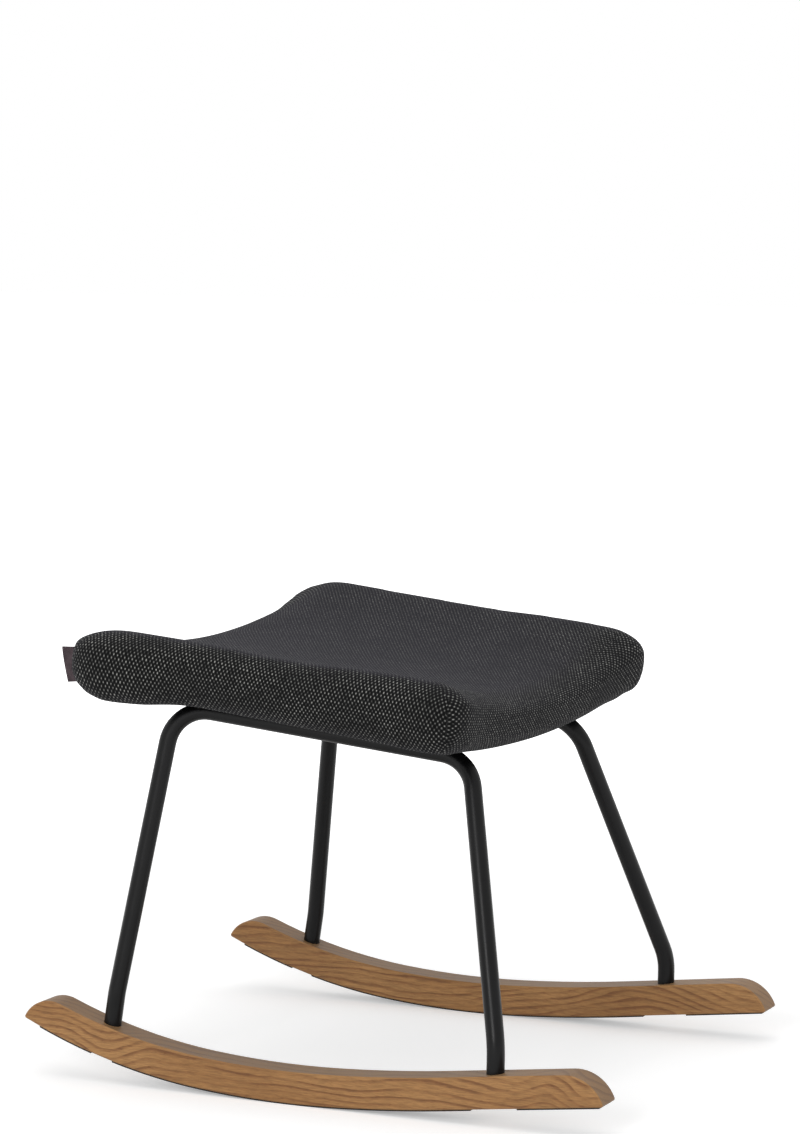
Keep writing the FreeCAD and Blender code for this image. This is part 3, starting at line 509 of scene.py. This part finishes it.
@dataclass(frozen=True)
class SeatFrame:
    """The seat's own frame: u forward, v across, w up from the lowest point of its underside."""

    along: float = -0.0386
    height: float = 0.3289
    tilt: float = 7.0
    underside_radius: float = 1.75
    half_length: float = 0.183
    back_half_width: float = 0.253
    front_half_width: float = 0.231

    def to_world(self) -> Matrix:
        """The matrix from the seat's frame to the stool's."""
        turn = Matrix.Rotation(math.radians(self.tilt), 4, "Y")
        return Matrix.Translation((self.along, 0.0, self.height)) @ turn

    def from_world(self) -> Matrix:
        """The matrix from the stool's frame to the seat's."""
        return self.to_world().inverted()

    def half_width(self, u: np.ndarray | float) -> np.ndarray | float:
        """Half of the cushion's width at u."""
        share = (u + self.half_length) / (2 * self.half_length)
        return self.back_half_width + (self.front_half_width - self.back_half_width) * share

    def underside(self, v: np.ndarray | float, level: float = 0.0) -> np.ndarray | float:
        """The height of the line at a level over the curved underside, at v across."""
        radius = self.underside_radius - level
        return self.underside_radius - np.sqrt(radius ** 2 - np.square(v))


def only(*pieces: Piece) -> None:
    """Selects these objects alone and makes the first one active."""
    bpy.ops.object.select_all(action="DESELECT")
    for piece in pieces:
        piece.select_set(True)
    bpy.context.view_layer.objects.active = pieces[0]


@contextmanager
def editing() -> Iterator[None]:
    """Edit mode for as long as the block runs, with the whole mesh selected."""
    bpy.ops.object.mode_set(mode="EDIT")
    bpy.ops.mesh.select_all(action="SELECT")
    yield
    bpy.ops.object.mode_set(mode="OBJECT")


def edit_faces(piece: Piece, chosen: Callable[[bpy.types.MeshPolygon], bool]) -> None:
    """Opens a mesh for editing with just the chosen faces selected.

    Args:
        piece: The object.
        chosen: Says of a face whether it is selected.
    """
    only(piece)
    bpy.ops.object.mode_set(mode="EDIT")
    bpy.ops.mesh.select_mode(type="FACE")
    bpy.ops.mesh.select_all(action="DESELECT")
    bpy.ops.object.mode_set(mode="OBJECT")
    for face in piece.data.polygons:
        face.select = chosen(face)
    bpy.ops.object.mode_set(mode="EDIT")


def rows_of(items: bpy.types.bpy_prop_collection, name: str) -> np.ndarray:
    """One property of a mesh's points or faces, as rows of three numbers."""
    found = np.zeros(len(items) * 3)
    items.foreach_get(name, found)
    return found.reshape(-1, 3)


def positions(piece: Piece) -> np.ndarray:
    """A mesh's points as rows of three numbers."""
    return rows_of(piece.data.vertices, "co")


def normals(piece: Piece) -> np.ndarray:
    """A mesh's point normals as rows of three numbers."""
    return rows_of(piece.data.vertices, "normal")


def set_positions(piece: Piece, points: np.ndarray) -> None:
    """Puts a mesh's points at new places."""
    piece.data.vertices.foreach_set("co", points.ravel())
    piece.data.update()


def moved(points: np.ndarray, matrix: Matrix) -> np.ndarray:
    """Points moved by a matrix."""
    whole = np.array(matrix)
    return points @ whole[:3, :3].T + whole[:3, 3]


def turned(directions: np.ndarray, matrix: Matrix) -> np.ndarray:
    """Directions turned by a matrix."""
    return directions @ np.array(matrix)[:3, :3].T


def ease(value: np.ndarray, low: float, high: float) -> np.ndarray:
    """Zero below low, one above high, and a smooth rise between."""
    share = np.clip((value - low) / (high - low), 0.0, 1.0)
    return share * share * (3 - 2 * share)


def zone(along: np.ndarray, across: np.ndarray, spans: Spans) -> np.ndarray:
    """One where two distances are both past their spans, easing to zero before either span."""
    return ease(along, *spans[0]) * ease(across, *spans[1])


def put_in_scene(name: str, data: bpy.types.ID) -> Piece:
    """A new object in the scene that holds this mesh, lamp or camera."""
    made = bpy.data.objects.new(name, data)
    bpy.context.scene.collection.objects.link(made)
    return made


def new_grid(name: str, columns: int, rows: int) -> Piece:
    """A new flat grid of this many columns and rows, from -1 to 1 both ways."""
    bpy.ops.object.select_all(action="DESELECT")
    bpy.ops.mesh.primitive_grid_add(x_subdivisions=columns, y_subdivisions=rows, size=2)
    piece = bpy.context.object
    piece.name = name
    return piece


def copy_node(name: str, label: str) -> Piece:
    """A free copy of a CAD node, its triangles merged.

    Args:
        name: The node.
        label: The copy's name.

    Returns:
        The copy.
    """
    made = put_in_scene(label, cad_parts[name].data.copy())
    made.data.materials.clear()
    only(made)
    bpy.ops.mesh.customdata_custom_splitnormals_clear()
    with editing():
        bpy.ops.mesh.remove_doubles(threshold=MERGE_DISTANCE)
    return made


def apply_modifier(piece: Piece, kind: str, **settings: object) -> None:
    """Adds a modifier, sets it up and applies it.

    Args:
        piece: The object.
        kind: The modifier's type.
        settings: The modifier's properties.
    """
    modifier = piece.modifiers.new(kind.lower(), kind)
    for name, value in settings.items():
        setattr(modifier, name, value)
    only(piece)
    bpy.ops.object.modifier_apply(modifier=modifier.name)


def smooth(piece: Piece, degrees: float) -> None:
    """Shades a piece smooth, apart from edges sharper than an angle."""
    only(piece)
    bpy.ops.object.shade_smooth_by_angle(angle=math.radians(degrees))


def dress(piece: Piece, material: Material) -> None:
    """Gives a piece one material."""
    piece.data.materials.clear()
    piece.data.materials.append(material)


def write_uv(piece: Piece, place: Callable[[np.ndarray, np.ndarray], np.ndarray]) -> None:
    """Writes a UV map in metres of cloth.

    Args:
        piece: The mesh.
        place: Gives the map's two numbers from each corner's point and its face's normal.
    """
    mesh = piece.data
    corner_points = np.zeros(len(mesh.loops), dtype=np.int64)
    mesh.loops.foreach_get("vertex_index", corner_points)
    sizes = np.zeros(len(mesh.polygons), dtype=np.int64)
    mesh.polygons.foreach_get("loop_total", sizes)
    corner_normals = np.repeat(rows_of(mesh.polygons, "normal"), sizes, axis=0)
    while mesh.uv_layers:
        mesh.uv_layers.remove(mesh.uv_layers[0])
    layer = mesh.uv_layers.new(name="cloth")
    layer.data.foreach_set("uv", place(positions(piece)[corner_points], corner_normals).ravel())


@dataclass
class Cushion:
    """The upholstered seat: foam swollen under a tight hopsack cover whose hem turns in under the board.

    A reach or rise is how far stuffing fills the cover out at one part of it. A span runs from where an
    effect begins to where it is full, in metres from the middle, or for the pucker from the flat top's
    corner. A facing does the same in how far the surface looks up, or down where its name says so.
    """

    seat: SeatFrame
    finish: HopsackFinish = field(default_factory=HopsackFinish)
    voxel: float = 0.006
    smoothing: float = 0.5
    shrink: float = 0.0004
    cloth: dict[str, float] = field(default_factory=lambda: {
        "quality": 6, "mass": 0.3, "tension_stiffness": 20.0, "compression_stiffness": 20.0,
        "shear_stiffness": 8.0, "bending_stiffness": 0.8, "use_pressure": True, "uniform_pressure_force": 4.0,
    })
    frames: int = 20
    held_facing_down: float = 0.9
    swelling: float = 0.002
    swelling_percentile: float = 95
    outward_limit: float = 0.003
    inward_limit: float = 0.0008
    skin: float = 0.0019
    corner_reach: float = 0.0078
    corner_spans: Spans = ((0.060, 0.165), (0.130, 0.215))
    front_corner_reach: float = 0.0036
    front_corner_spans: Spans = ((0.100, 0.170), (0.140, 0.210))
    top_share: float = 0.82
    top_facing: Pair = (0.35, 0.95)
    front_rise: float = 0.004
    front_span: Pair = (0.0, 0.120)
    front_facing: Pair = (0.0, 0.8)
    near_rise: float = 0.0034
    near_spans: Spans = ((-0.030, 0.080), (0.140, 0.210))
    near_facing: Pair = (0.1, 0.8)
    corner_drop: float = 0.004
    drop_spans: Spans = ((0.030, 0.120), (0.170, 0.235))
    drop_facing_down: Pair = (-0.35, 0.35)
    hem_level: float = 0.001
    hem_facing_down: Pair = (0.80, 0.97)
    hem_opening: Pair = (0.066, 0.054)
    side_round: float = 0.025
    end_round: float = 0.034
    pucker: float = 0.0009
    pucker_span: Pair = (-0.055, 0.004)
    pucker_facing_down: Spans = ((-0.15, 0.45), (0.85, 0.99))
    coarse_folds: Triple = (9.0, 210.0, 0.6)
    fine_folds: Triple = (17.0, 330.0, 0.5)
    cover: float = 0.0012
    fill: float = 0.85
    round_level: Triple = (0.021, 0.019, 0.004)
    end_radius: float = 0.029
    side_radius: float = 0.026
    flat_facing_down: float = 0.85

    def build(self) -> Piece:
        """Models, swells, hems and dresses the cushion.

        Returns:
            The finished piece.
        """
        piece = self.body()
        self.swell(piece)
        self.settle(piece)
        self.open_hem(piece)
        apply_modifier(piece, "SUBSURF", levels=1, render_levels=1)
        write_uv(piece, self.cloth_place)
        apply_modifier(piece, "SOLIDIFY", thickness=self.cover, offset=-1.0, use_rim=True)
        bpy.ops.object.shade_smooth()
        dress(piece, self.finish.material())
        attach(piece, BODY)
        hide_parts("cushion_cover", "seat_foam")
        return piece

    def body(self) -> Piece:
        """The closed body under the cover: the foam with the board's room filled, evenly remeshed.

        Returns:
            The body, a little smaller than the cushion.
        """
        foam = copy_node("seat_foam", "cushion")
        board = copy_node("seat_board", "cushion_board")
        only(foam, board)
        bpy.ops.object.join()
        foam.data.remesh_voxel_size = self.voxel
        foam.data.use_remesh_fix_poles = True
        bpy.ops.object.voxel_remesh()
        with editing():
            bpy.ops.mesh.vertices_smooth(factor=self.smoothing, repeat=2)
        set_positions(foam, positions(foam) - normals(foam) * self.shrink)
        return foam

    def swell(self, piece: Piece) -> None:
        """Blows the body up as cloth under a little pressure, with its underside held to the board.

        Args:
            piece: The body.
        """
        start, before = positions(piece), normals(piece)
        down = -turned(before, self.seat.from_world())[:, 2]
        held = piece.vertex_groups.new(name="held")
        for number in np.flatnonzero(down > self.held_facing_down):
            held.add([int(number)], 1.0, "REPLACE")
        simulation = piece.modifiers.new("cloth", "CLOTH")
        settings = simulation.settings
        for name, value in self.cloth.items():
            setattr(settings, name, value)
        settings.vertex_group_mass = held.name
        settings.effector_weights.gravity = 0.0
        simulation.point_cache.frame_end = self.frames
        for number in range(1, self.frames + 1):
            bpy.context.scene.frame_set(number)
        only(piece)
        bpy.ops.object.modifier_apply(modifier=simulation.name)
        bpy.context.scene.frame_set(1)
        outward = np.sum((positions(piece) - start) * before, axis=1)
        log.info("freely, the cushion swelled by %.1f to %.1f mm", 1000 * outward.min(), 1000 * outward.max())
        eased = outward * self.swelling / np.percentile(np.abs(outward), self.swelling_percentile)
        kept = np.clip(eased, -self.inward_limit, self.outward_limit)
        set_positions(piece, start + before * kept[:, None])
        piece.vertex_groups.clear()

    def settle(self, piece: Piece) -> None:
        """Fills the cover out, lays its underside on the board's curve and puckers it round the corners.

        Args:
            piece: The swollen body.
        """
        points = moved(positions(piece), self.seat.from_world())
        outward = turned(normals(piece), self.seat.from_world())
        self.fill_out(points, outward)
        # u, v and w are views of the points, so a change to w moves them
        u, v, w = points.T
        down = -outward[:, 2]
        hanging = zone(-u, np.abs(v), self.drop_spans)
        w -= self.corner_drop * hanging * ease(down, *self.drop_facing_down)
        flat = ease(down, *self.hem_facing_down) * (1 - hanging)
        w += (self.seat.underside(v, self.hem_level) - w) * flat
        self.draw_in(points, outward)
        set_positions(piece, moved(points, self.seat.to_world()))

    def fill_out(self, points: np.ndarray, outward: np.ndarray) -> None:
        """Pushes the cover out where stuffing fills it, most of all at its corners.

        Args:
            points: The body's points in the seat's frame. They are moved.
            outward: Their normals in the seat's frame.
        """
        u, v, _ = points.T
        up = outward[:, 2]
        off_top = 1 - self.top_share * ease(up, *self.top_facing)
        reach = self.skin + self.corner_reach * zone(-u, np.abs(v), self.corner_spans) * off_top
        reach += self.front_corner_reach * zone(u, np.abs(v), self.front_corner_spans) * off_top
        reach += self.front_rise * ease(u, *self.front_span) * ease(up, *self.front_facing)
        reach += self.near_rise * zone(-u, -v, self.near_spans) * ease(up, *self.near_facing)
        points += outward * reach[:, None]

    def draw_in(self, points: np.ndarray, outward: np.ndarray) -> None:
        """Puckers the cover under the corners, where it is pulled round them.

        Args:
            points: The body's points in the seat's frame. They are moved.
            outward: Their normals in the seat's frame.
        """
        u, v, _ = points.T
        down = -outward[:, 2]
        past_u, past_v = self.past_flat(u, v)
        around = np.arctan2(np.maximum(past_v, 0.0), np.maximum(past_u, 0.0))
        corner = ease(np.minimum(past_u, past_v), *self.pucker_span)
        start, end = self.pucker_facing_down
        under = ease(down, *start) * (1 - ease(down, *end))
        turns, rate, slant = self.coarse_folds
        waves = np.sin(turns * around + rate * (u * np.sign(v) + slant * v))
        turns, rate, share = self.fine_folds
        waves += share * np.sin(turns * around + rate * u)
        points += outward * (self.pucker * corner * under * waves)[:, None]

    def past_flat(self, u: np.ndarray, v: np.ndarray) -> tuple[np.ndarray, np.ndarray]:
        """How far points lie past the flat middle of the top, along the seat and across it."""
        past_u = np.abs(u) - (self.seat.half_length - self.end_round)
        past_v = np.abs(v) - (self.seat.half_width(u) - self.side_round)
        return past_u, past_v

    def open_hem(self, piece: Piece) -> None:
        """Takes out the underside inside the turned hem, where the dust cloth lies.

        Args:
            piece: The cushion.
        """
        to_seat = self.seat.from_world()
        side, end = self.hem_opening

        def inside(face: bpy.types.MeshPolygon) -> bool:
            """Whether a face lies on the underside, within the hem."""
            centre = to_seat @ face.center
            within = abs(centre.x) < self.seat.half_length - end
            within = within and abs(centre.y) < self.seat.half_width(centre.x) - side
            return within and (to_seat.to_3x3() @ face.normal).z < -0.5

        edit_faces(piece, inside)
        bpy.ops.mesh.delete(type="FACE")
        bpy.ops.object.mode_set(mode="OBJECT")

    def cloth_place(self, points: np.ndarray, outward: np.ndarray) -> np.ndarray:
        """The cloth's own coordinates: along the seat and over its ends, and across it and over its sides.

        Args:
            points: Points in the stool's frame.
            outward: The normal of each point's face.

        Returns:
            Two lengths in metres for each point.
        """
        u, v, w = moved(points, self.seat.from_world()).T
        nu, nv, nw = turned(outward, self.seat.from_world()).T
        base, dish, slope = self.round_level
        share = np.clip(np.abs(v) / self.seat.half_width(u), 0, 1.1)
        height = w - (base + dish * share ** 2 + (u + self.seat.half_length) * slope)
        past_u, past_v = self.past_flat(u, v)
        end_turn = np.where(past_u > 0, np.arctan2(np.maximum(past_u, 0.0), height), 0.0)
        side_turn = np.where(past_v > 0, np.arctan2(np.maximum(past_v, 0.0), height), 0.0)
        over_end = np.sign(u) * (np.abs(u) - np.maximum(past_u, 0.0) + self.end_radius * end_turn)
        over_side = np.sign(v) * (np.abs(v) - np.maximum(past_v, 0.0) + self.side_radius * side_turn)
        is_end = (np.abs(nu) > np.abs(nv)) & (past_u > 0)
        below = nw < -self.flat_facing_down
        along = np.where(is_end & ~below, over_end, u)
        across = np.where(is_end | below, v, over_side)
        return np.stack([along, across], axis=1)


@dataclass
class DustCloth:
    """The thin black cloth under the seat, stapled over the cover's hem."""

    seat: SeatFrame
    finish: PlainWeave = field(default_factory=lambda: PlainWeave(
        "black_dust_cloth", linear(14, 14, 15), linear(30, 30, 32), 0.0009, 0.00008))
    staple_finish: ZincPlate = field(default_factory=lambda: ZincPlate("staple_wire"))
    side_inset: float = 0.054
    end_inset: float = 0.042
    corner: float = 0.012
    thickness: float = 0.0006
    lift: float = 0.00008
    pull: float = 0.00006
    pull_span: Pair = (0.80, 1.0)
    rows: int = 60
    columns: int = 44
    staple_inset: float = 0.007
    staple_pitch: float = 0.034
    crown: Triple = (0.0100, 0.0012, 0.0005)
    leg: float = 0.0012
    wire_round: float = 0.00018
    tube_run: Spans = ((-0.1172, 0.1657), (0.1575, 0.1206))
    tube_room: float = 0.018

    def build(self) -> tuple[Piece, Piece]:
        """Models the cloth and its staples.

        Returns:
            The cloth and the staples.
        """
        cloth = self.cloth()
        staples = self.staples()
        back, front = (self.seat.half_width(end) - self.side_inset for end in (-self.half_u, self.half_u))
        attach(cloth, BODY)
        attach(staples, BODY)
        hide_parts("dust_cloth")
        return cloth, staples

    @property
    def half_u(self) -> float:
        """Half of the cloth's length along the seat."""
        return self.seat.half_length - self.end_inset

    def edge(self, u: float) -> float:
        """Half of the cloth's width at u, with its corners rounded."""
        half = self.seat.half_width(u) - self.side_inset
        past = abs(u) - (self.half_u - self.corner)
        if past <= 0:
            return half
        return half - self.corner + math.sqrt(max(self.corner ** 2 - past ** 2, 0.0))

    def cloth(self) -> Piece:
        """The cloth itself, pulled flat to the underside's curve, with slight pulls between staples.

        Returns:
            The cloth.
        """
        piece = new_grid("dust_cloth_sheet", self.columns, self.rows)
        points = positions(piece)
        u = np.clip(points[:, 0], -1, 1) * self.half_u
        v = points[:, 1] * np.array([self.edge(value) for value in u])
        near_edge = ease(np.abs(points[:, 1]), *self.pull_span)
        pulled = self.pull * near_edge * np.sin(math.tau * u / self.staple_pitch)
        top = self.seat.underside(v, self.thickness + self.lift) + pulled
        set_positions(piece, moved(np.stack([u, v, top], axis=1), self.seat.to_world()))
        write_uv(piece, lambda corners, _: moved(corners, self.seat.from_world())[:, :2])
        apply_modifier(piece, "SOLIDIFY", thickness=self.thickness, offset=-1.0, use_rim=True)
        smooth(piece, 40)
        dress(piece, self.finish.material())
        return piece

    def staple(self) -> Piece:
        """One wire staple at the origin, its crown along x and its legs up into the cloth.

        Returns:
            The staple.
        """
        width, depth, height = self.crown
        leg_from = width / 2 - depth
        bpy.ops.object.select_all(action="DESELECT")
        bpy.ops.mesh.primitive_cube_add(size=1, scale=self.crown, location=(0, 0, -height / 2))
        piece = bpy.context.object
        bpy.ops.object.transform_apply(location=True, rotation=False, scale=True)
        for end in (-leg_from, leg_from):
            with editing():
                bpy.ops.mesh.bisect(plane_co=(end, 0, 0), plane_no=(1, 0, 0))
        edit_faces(piece, lambda face: face.normal.z > 0.9 and abs(face.center.x) > leg_from)
        bpy.ops.mesh.extrude_region_move(TRANSFORM_OT_translate={"value": (0, 0, self.leg)})
        bpy.ops.object.mode_set(mode="OBJECT")
        apply_modifier(piece, "BEVEL", width=self.wire_round, segments=2, angle_limit=math.radians(50))
        return piece

    def staple_places(self) -> list[Triple]:
        """Where the staples go round the cloth's edge, clear of the tubes.

        Returns:
            The u and v of each staple and its turn, in degrees.
        """
        places: list[Triple] = []
        half_u = self.half_u - self.staple_inset
        count = round(2 * half_u / self.staple_pitch)
        taper = math.degrees(math.atan((self.seat.front_half_width - self.seat.back_half_width)
                                       / (2 * self.seat.half_length)))
        for number in range(1, count):
            u = -half_u + 2 * half_u * number / count
            v = self.seat.half_width(u) - self.side_inset - self.staple_inset
            places += [(u, side.value * v, side.value * taper) for side in Side]
        for u in (-half_u, half_u):
            reach = self.seat.half_width(u) - self.side_inset - self.corner
            count = round(2 * reach / self.staple_pitch)
            for number in range(count + 1):
                v = -reach + 2 * reach * number / count
                if abs(abs(v) - self.tube_at(u)) > self.tube_room:
                    places.append((u, v, 90.0))
        return places

    def tube_at(self, u: float) -> float:
        """How far from the middle the side frames' tubes run at u."""
        (back_u, back_v), (front_u, front_v) = self.tube_run
        return back_v + (front_v - back_v) * (u - back_u) / (front_u - back_u)

    def staples(self) -> Piece:
        """Copies of the staple round the cloth's edge, as one piece.

        Returns:
            The staples.
        """
        first = self.staple()
        copies = []
        for u, v, turn in self.staple_places():
            copy = put_in_scene("dust_cloth_staples", first.data.copy())
            level = float(self.seat.underside(v))
            lean = Matrix.Rotation(math.asin(v / self.seat.underside_radius), 4, "X")
            spin = Matrix.Rotation(math.radians(turn), 4, "Z")
            copy.data.transform(self.seat.to_world() @ Matrix.Translation((u, v, level)) @ lean @ spin)
            copies.append(copy)
        bpy.data.objects.remove(first)
        only(*copies)
        bpy.ops.object.join()
        piece = bpy.context.object
        smooth(piece, 35)
        dress(piece, self.staple_finish.material())
        return piece


@dataclass
class CoverTab:
    """The small bare tab of folded fabric, sewn in at the cushion's back near corner."""

    seat: SeatFrame
    finish: PlainWeave = field(default_factory=lambda: PlainWeave(
        "mauve_tab_cloth", linear(46, 38, 41), linear(88, 76, 80), 0.0007, 0.00012))
    height: float = 0.031
    reach: float = 0.022
    root: float = 0.010
    inset: float = 0.0258
    level: float = 0.035
    cloth: float = 0.0006
    fold: float = 0.00042
    bow: float = 0.0007
    slant: float = 0.0095
    slant_power: float = 1.4
    droop: float = 9.0
    columns: int = 48
    rows: int = 16

    def build(self) -> Piece:
        """Models the tab as one strip folded about its outer edge.

        Returns:
            The tab.
        """
        piece = new_grid("folded_cover_tab", self.columns, self.rows)
        across, up, _ = positions(piece).T
        length = self.reach + self.root
        quarter = math.pi / 2
        along = np.abs(across) * length
        turn = np.minimum(along / self.fold, quarter)
        straight = along - self.fold * (quarter - 1)
        out = np.where(along < self.fold * quarter, self.fold * (1 - np.cos(turn)), straight)
        apart = np.sign(across) * self.fold * np.sin(turn)
        low = np.clip((1 - up) / 2, 0, 1)
        slanted = out + self.slant * low ** self.slant_power * np.clip(1 - out / length, 0, 1)
        bowed = self.bow * np.sin(quarter * (up + 1)) * np.clip(1 - out / self.reach, 0, 1)
        u = -self.seat.half_length - self.reach + slanted
        v = -self.seat.back_half_width + self.inset + apart + bowed
        w = self.level + up * self.height / 2 - math.radians(self.droop) * (length - out)
        set_positions(piece, moved(np.stack([u, v, w], axis=1), self.seat.to_world()))
        flat = np.stack([across * length, up * self.height / 2], axis=1)
        corners = [loop.vertex_index for loop in piece.data.loops]
        write_uv(piece, lambda points, _: flat[corners])
        apply_modifier(piece, "SOLIDIFY", thickness=self.cloth, offset=1.0, use_rim=True)
        smooth(piece, 60)
        dress(piece, self.finish.material())
        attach(piece, BODY)
        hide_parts("cover_tab")
        return piece


@dataclass
class Rockers:
    """The two oak rockers and the strips that they glide on."""

    strips: GlideRubber = field(default_factory=GlideRubber)
    cuts: dict[Side, OakFinish] = field(default_factory=lambda: {
        Side.NEAR: OakFinish("oiled_oak_near", (3.1, 5.7, 1.3), (
            (0.236, 0.036, 1.7), (-0.200, 0.050, -2.1), (0.10, 0.16, 1.2))),
        Side.FAR: OakFinish("oiled_oak_far", (11.4, 2.9, 6.2), (
            (0.160, 0.105, 3.4), (-0.060, 0.120, -1.6))),
    })

    def dress(self) -> None:
        """Gives each rocker its own cut of oak, and all strips one finish."""
        for side, oak in self.cuts.items():
            dress(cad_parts[f"rocker_{side.name.lower()}"], oak.material())
        rubber = self.strips.material()
        for name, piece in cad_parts.items():
            if name.startswith("glide_"):
                dress(piece, rubber)


@dataclass
class Chassis:
    """The steel side frames and cross bars, the board, and the fixings."""

    coat: PowderCoat = field(default_factory=PowderCoat)
    plating: ZincPlate = field(default_factory=ZincPlate)
    board: PlywoodFinish = field(default_factory=PlywoodFinish)

    def dress(self) -> None:
        """Gives the frame, the board and the fixings their finishes."""
        finishes = {
            self.coat: ("side_frame_near", "side_frame_far", "cross_bar_back", "cross_bar_front"),
            self.plating: ("foot_bolts", "foot_washers", "seat_screws"),
            self.board: ("seat_board",),
        }
        for finish, names in finishes.items():
            material = finish.material()
            for name in names:
                dress(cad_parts[name], material)


@dataclass
class Studio:
    """A pale floor, soft lamps, and the camera at the photograph's view.

    Each lamp is a square softbox, with its place, the length of its side and its power in watts.
    """

    azimuth: float = 25.08
    elevation: float = 6.275
    distance: float = 3.667
    target: Triple = (-0.00811, 0.0, 0.4586)
    focal_pixels: float = 3973.0
    long_side_pixels: float = 1134.0
    sensor: float = 36.0
    floor_size: float = 30.0
    floor_tones: tuple[Colour, Colour] = (linear(236, 236, 236), linear(240, 240, 240))
    glow_span: Pair = (0.5, 2.4)
    glow: Pair = (0.34, 1.0)
    world_light: float = 0.72
    lit_point: Triple = (0.0, 0.0, 0.25)
    lamps: tuple[tuple[str, Triple, float, float], ...] = (
        ("front_softbox", (0.1, -2.8, 1.3), 0.9, 25.0), ("top_softbox", (-0.4, -0.3, 3.0), 2.4, 14.0))

    def build(self) -> None:
        """Makes the floor, the world, the lamps and the camera."""
        self.floor()
        self.world()
        for name, place, size, watts in self.lamps:
            data = bpy.data.lights.new(name, "AREA")
            data.size, data.energy = size, watts
            self.aim(put_in_scene(name, data), Vector(place), Vector(self.lit_point) - Vector(place))
        self.camera()
        bpy.context.scene.view_settings.view_transform = "Standard"

    def floor(self) -> None:
        """A pale floor that shows white to the camera and still takes the stool's shadow."""
        bpy.ops.object.select_all(action="DESELECT")
        bpy.ops.mesh.primitive_plane_add(size=self.floor_size)
        floor = bpy.context.object
        floor.name = "studio_floor"
        shader = Shader("pale_floor")
        place = shader.place(Coords.OBJECT)
        away = shader.node("ShaderNodeVectorMath", {0: place}, operation="LENGTH").outputs["Value"]
        lift = shader.times(shader.seen(), shader.between(away, *self.glow_span, *self.glow))
        colour = shader.blend(shader.noise(place, 3.0), *self.floor_tones)
        shader.finish(Base_Color=colour, Roughness=0.9, Specular_IOR_Level=0.0)
        glow = shader.node("ShaderNodeEmission", {"Color": WHITE, "Strength": lift})
        added = shader.node("ShaderNodeAddShader", {0: shader.surface.outputs[0], 1: glow.outputs[0]})
        shader.feed(shader.output.inputs["Surface"], added.outputs[0])
        dress(floor, shader.material)

    def world(self) -> None:
        """A plain soft sky that the camera and reflections see as white."""
        world = bpy.data.worlds.new("studio")
        bpy.context.scene.world = world
        nodes = Nodes(world)
        background = nodes.tree.nodes["Background"].inputs
        nodes.feed(background["Color"], WHITE)
        nodes.feed(background["Strength"], nodes.between(nodes.seen(), 0.0, 1.0, self.world_light, 1.0))

    def camera(self) -> None:
        """Sets the camera at the view and focal length fitted to the photograph."""
        data = bpy.data.cameras.new("view")
        data.sensor_width = self.sensor
        data.lens = self.focal_pixels * self.sensor / self.long_side_pixels
        data.clip_end = 100.0
        camera = put_in_scene("view", data)
        turn, rise = math.radians(self.azimuth), math.radians(self.elevation)
        ahead = Vector((-math.sin(turn) * math.cos(rise), math.cos(turn) * math.cos(rise), -math.sin(rise)))
        self.aim(camera, Vector(self.target) - ahead * self.distance, ahead)
        bpy.context.scene.camera = camera

    def aim(self, thing: Piece, place: Vector, ahead: Vector) -> None:
        """Puts a lamp or camera at a place, looking ahead."""
        thing.location = place
        thing.rotation_euler = ahead.to_track_quat("-Z", "Y").to_euler()


def main() -> None:
    """Builds the stool's looks around the frame, sub-assembly by sub-assembly."""
    logging.basicConfig(level=logging.INFO, format="%(name)s: %(message)s")
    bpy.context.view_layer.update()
    seat = SeatFrame()
    Rockers().dress()
    log.info("rockers and glides dressed")
    Chassis().dress()
    log.info("frames, board and fixings dressed")
    for piece in (Cushion(seat).build(), *DustCloth(seat).build(), CoverTab(seat).build()):
        log.info("%s: %d faces", piece.name, len(piece.data.polygons))
    Studio().build()


if __name__ == "__main__":
    main()
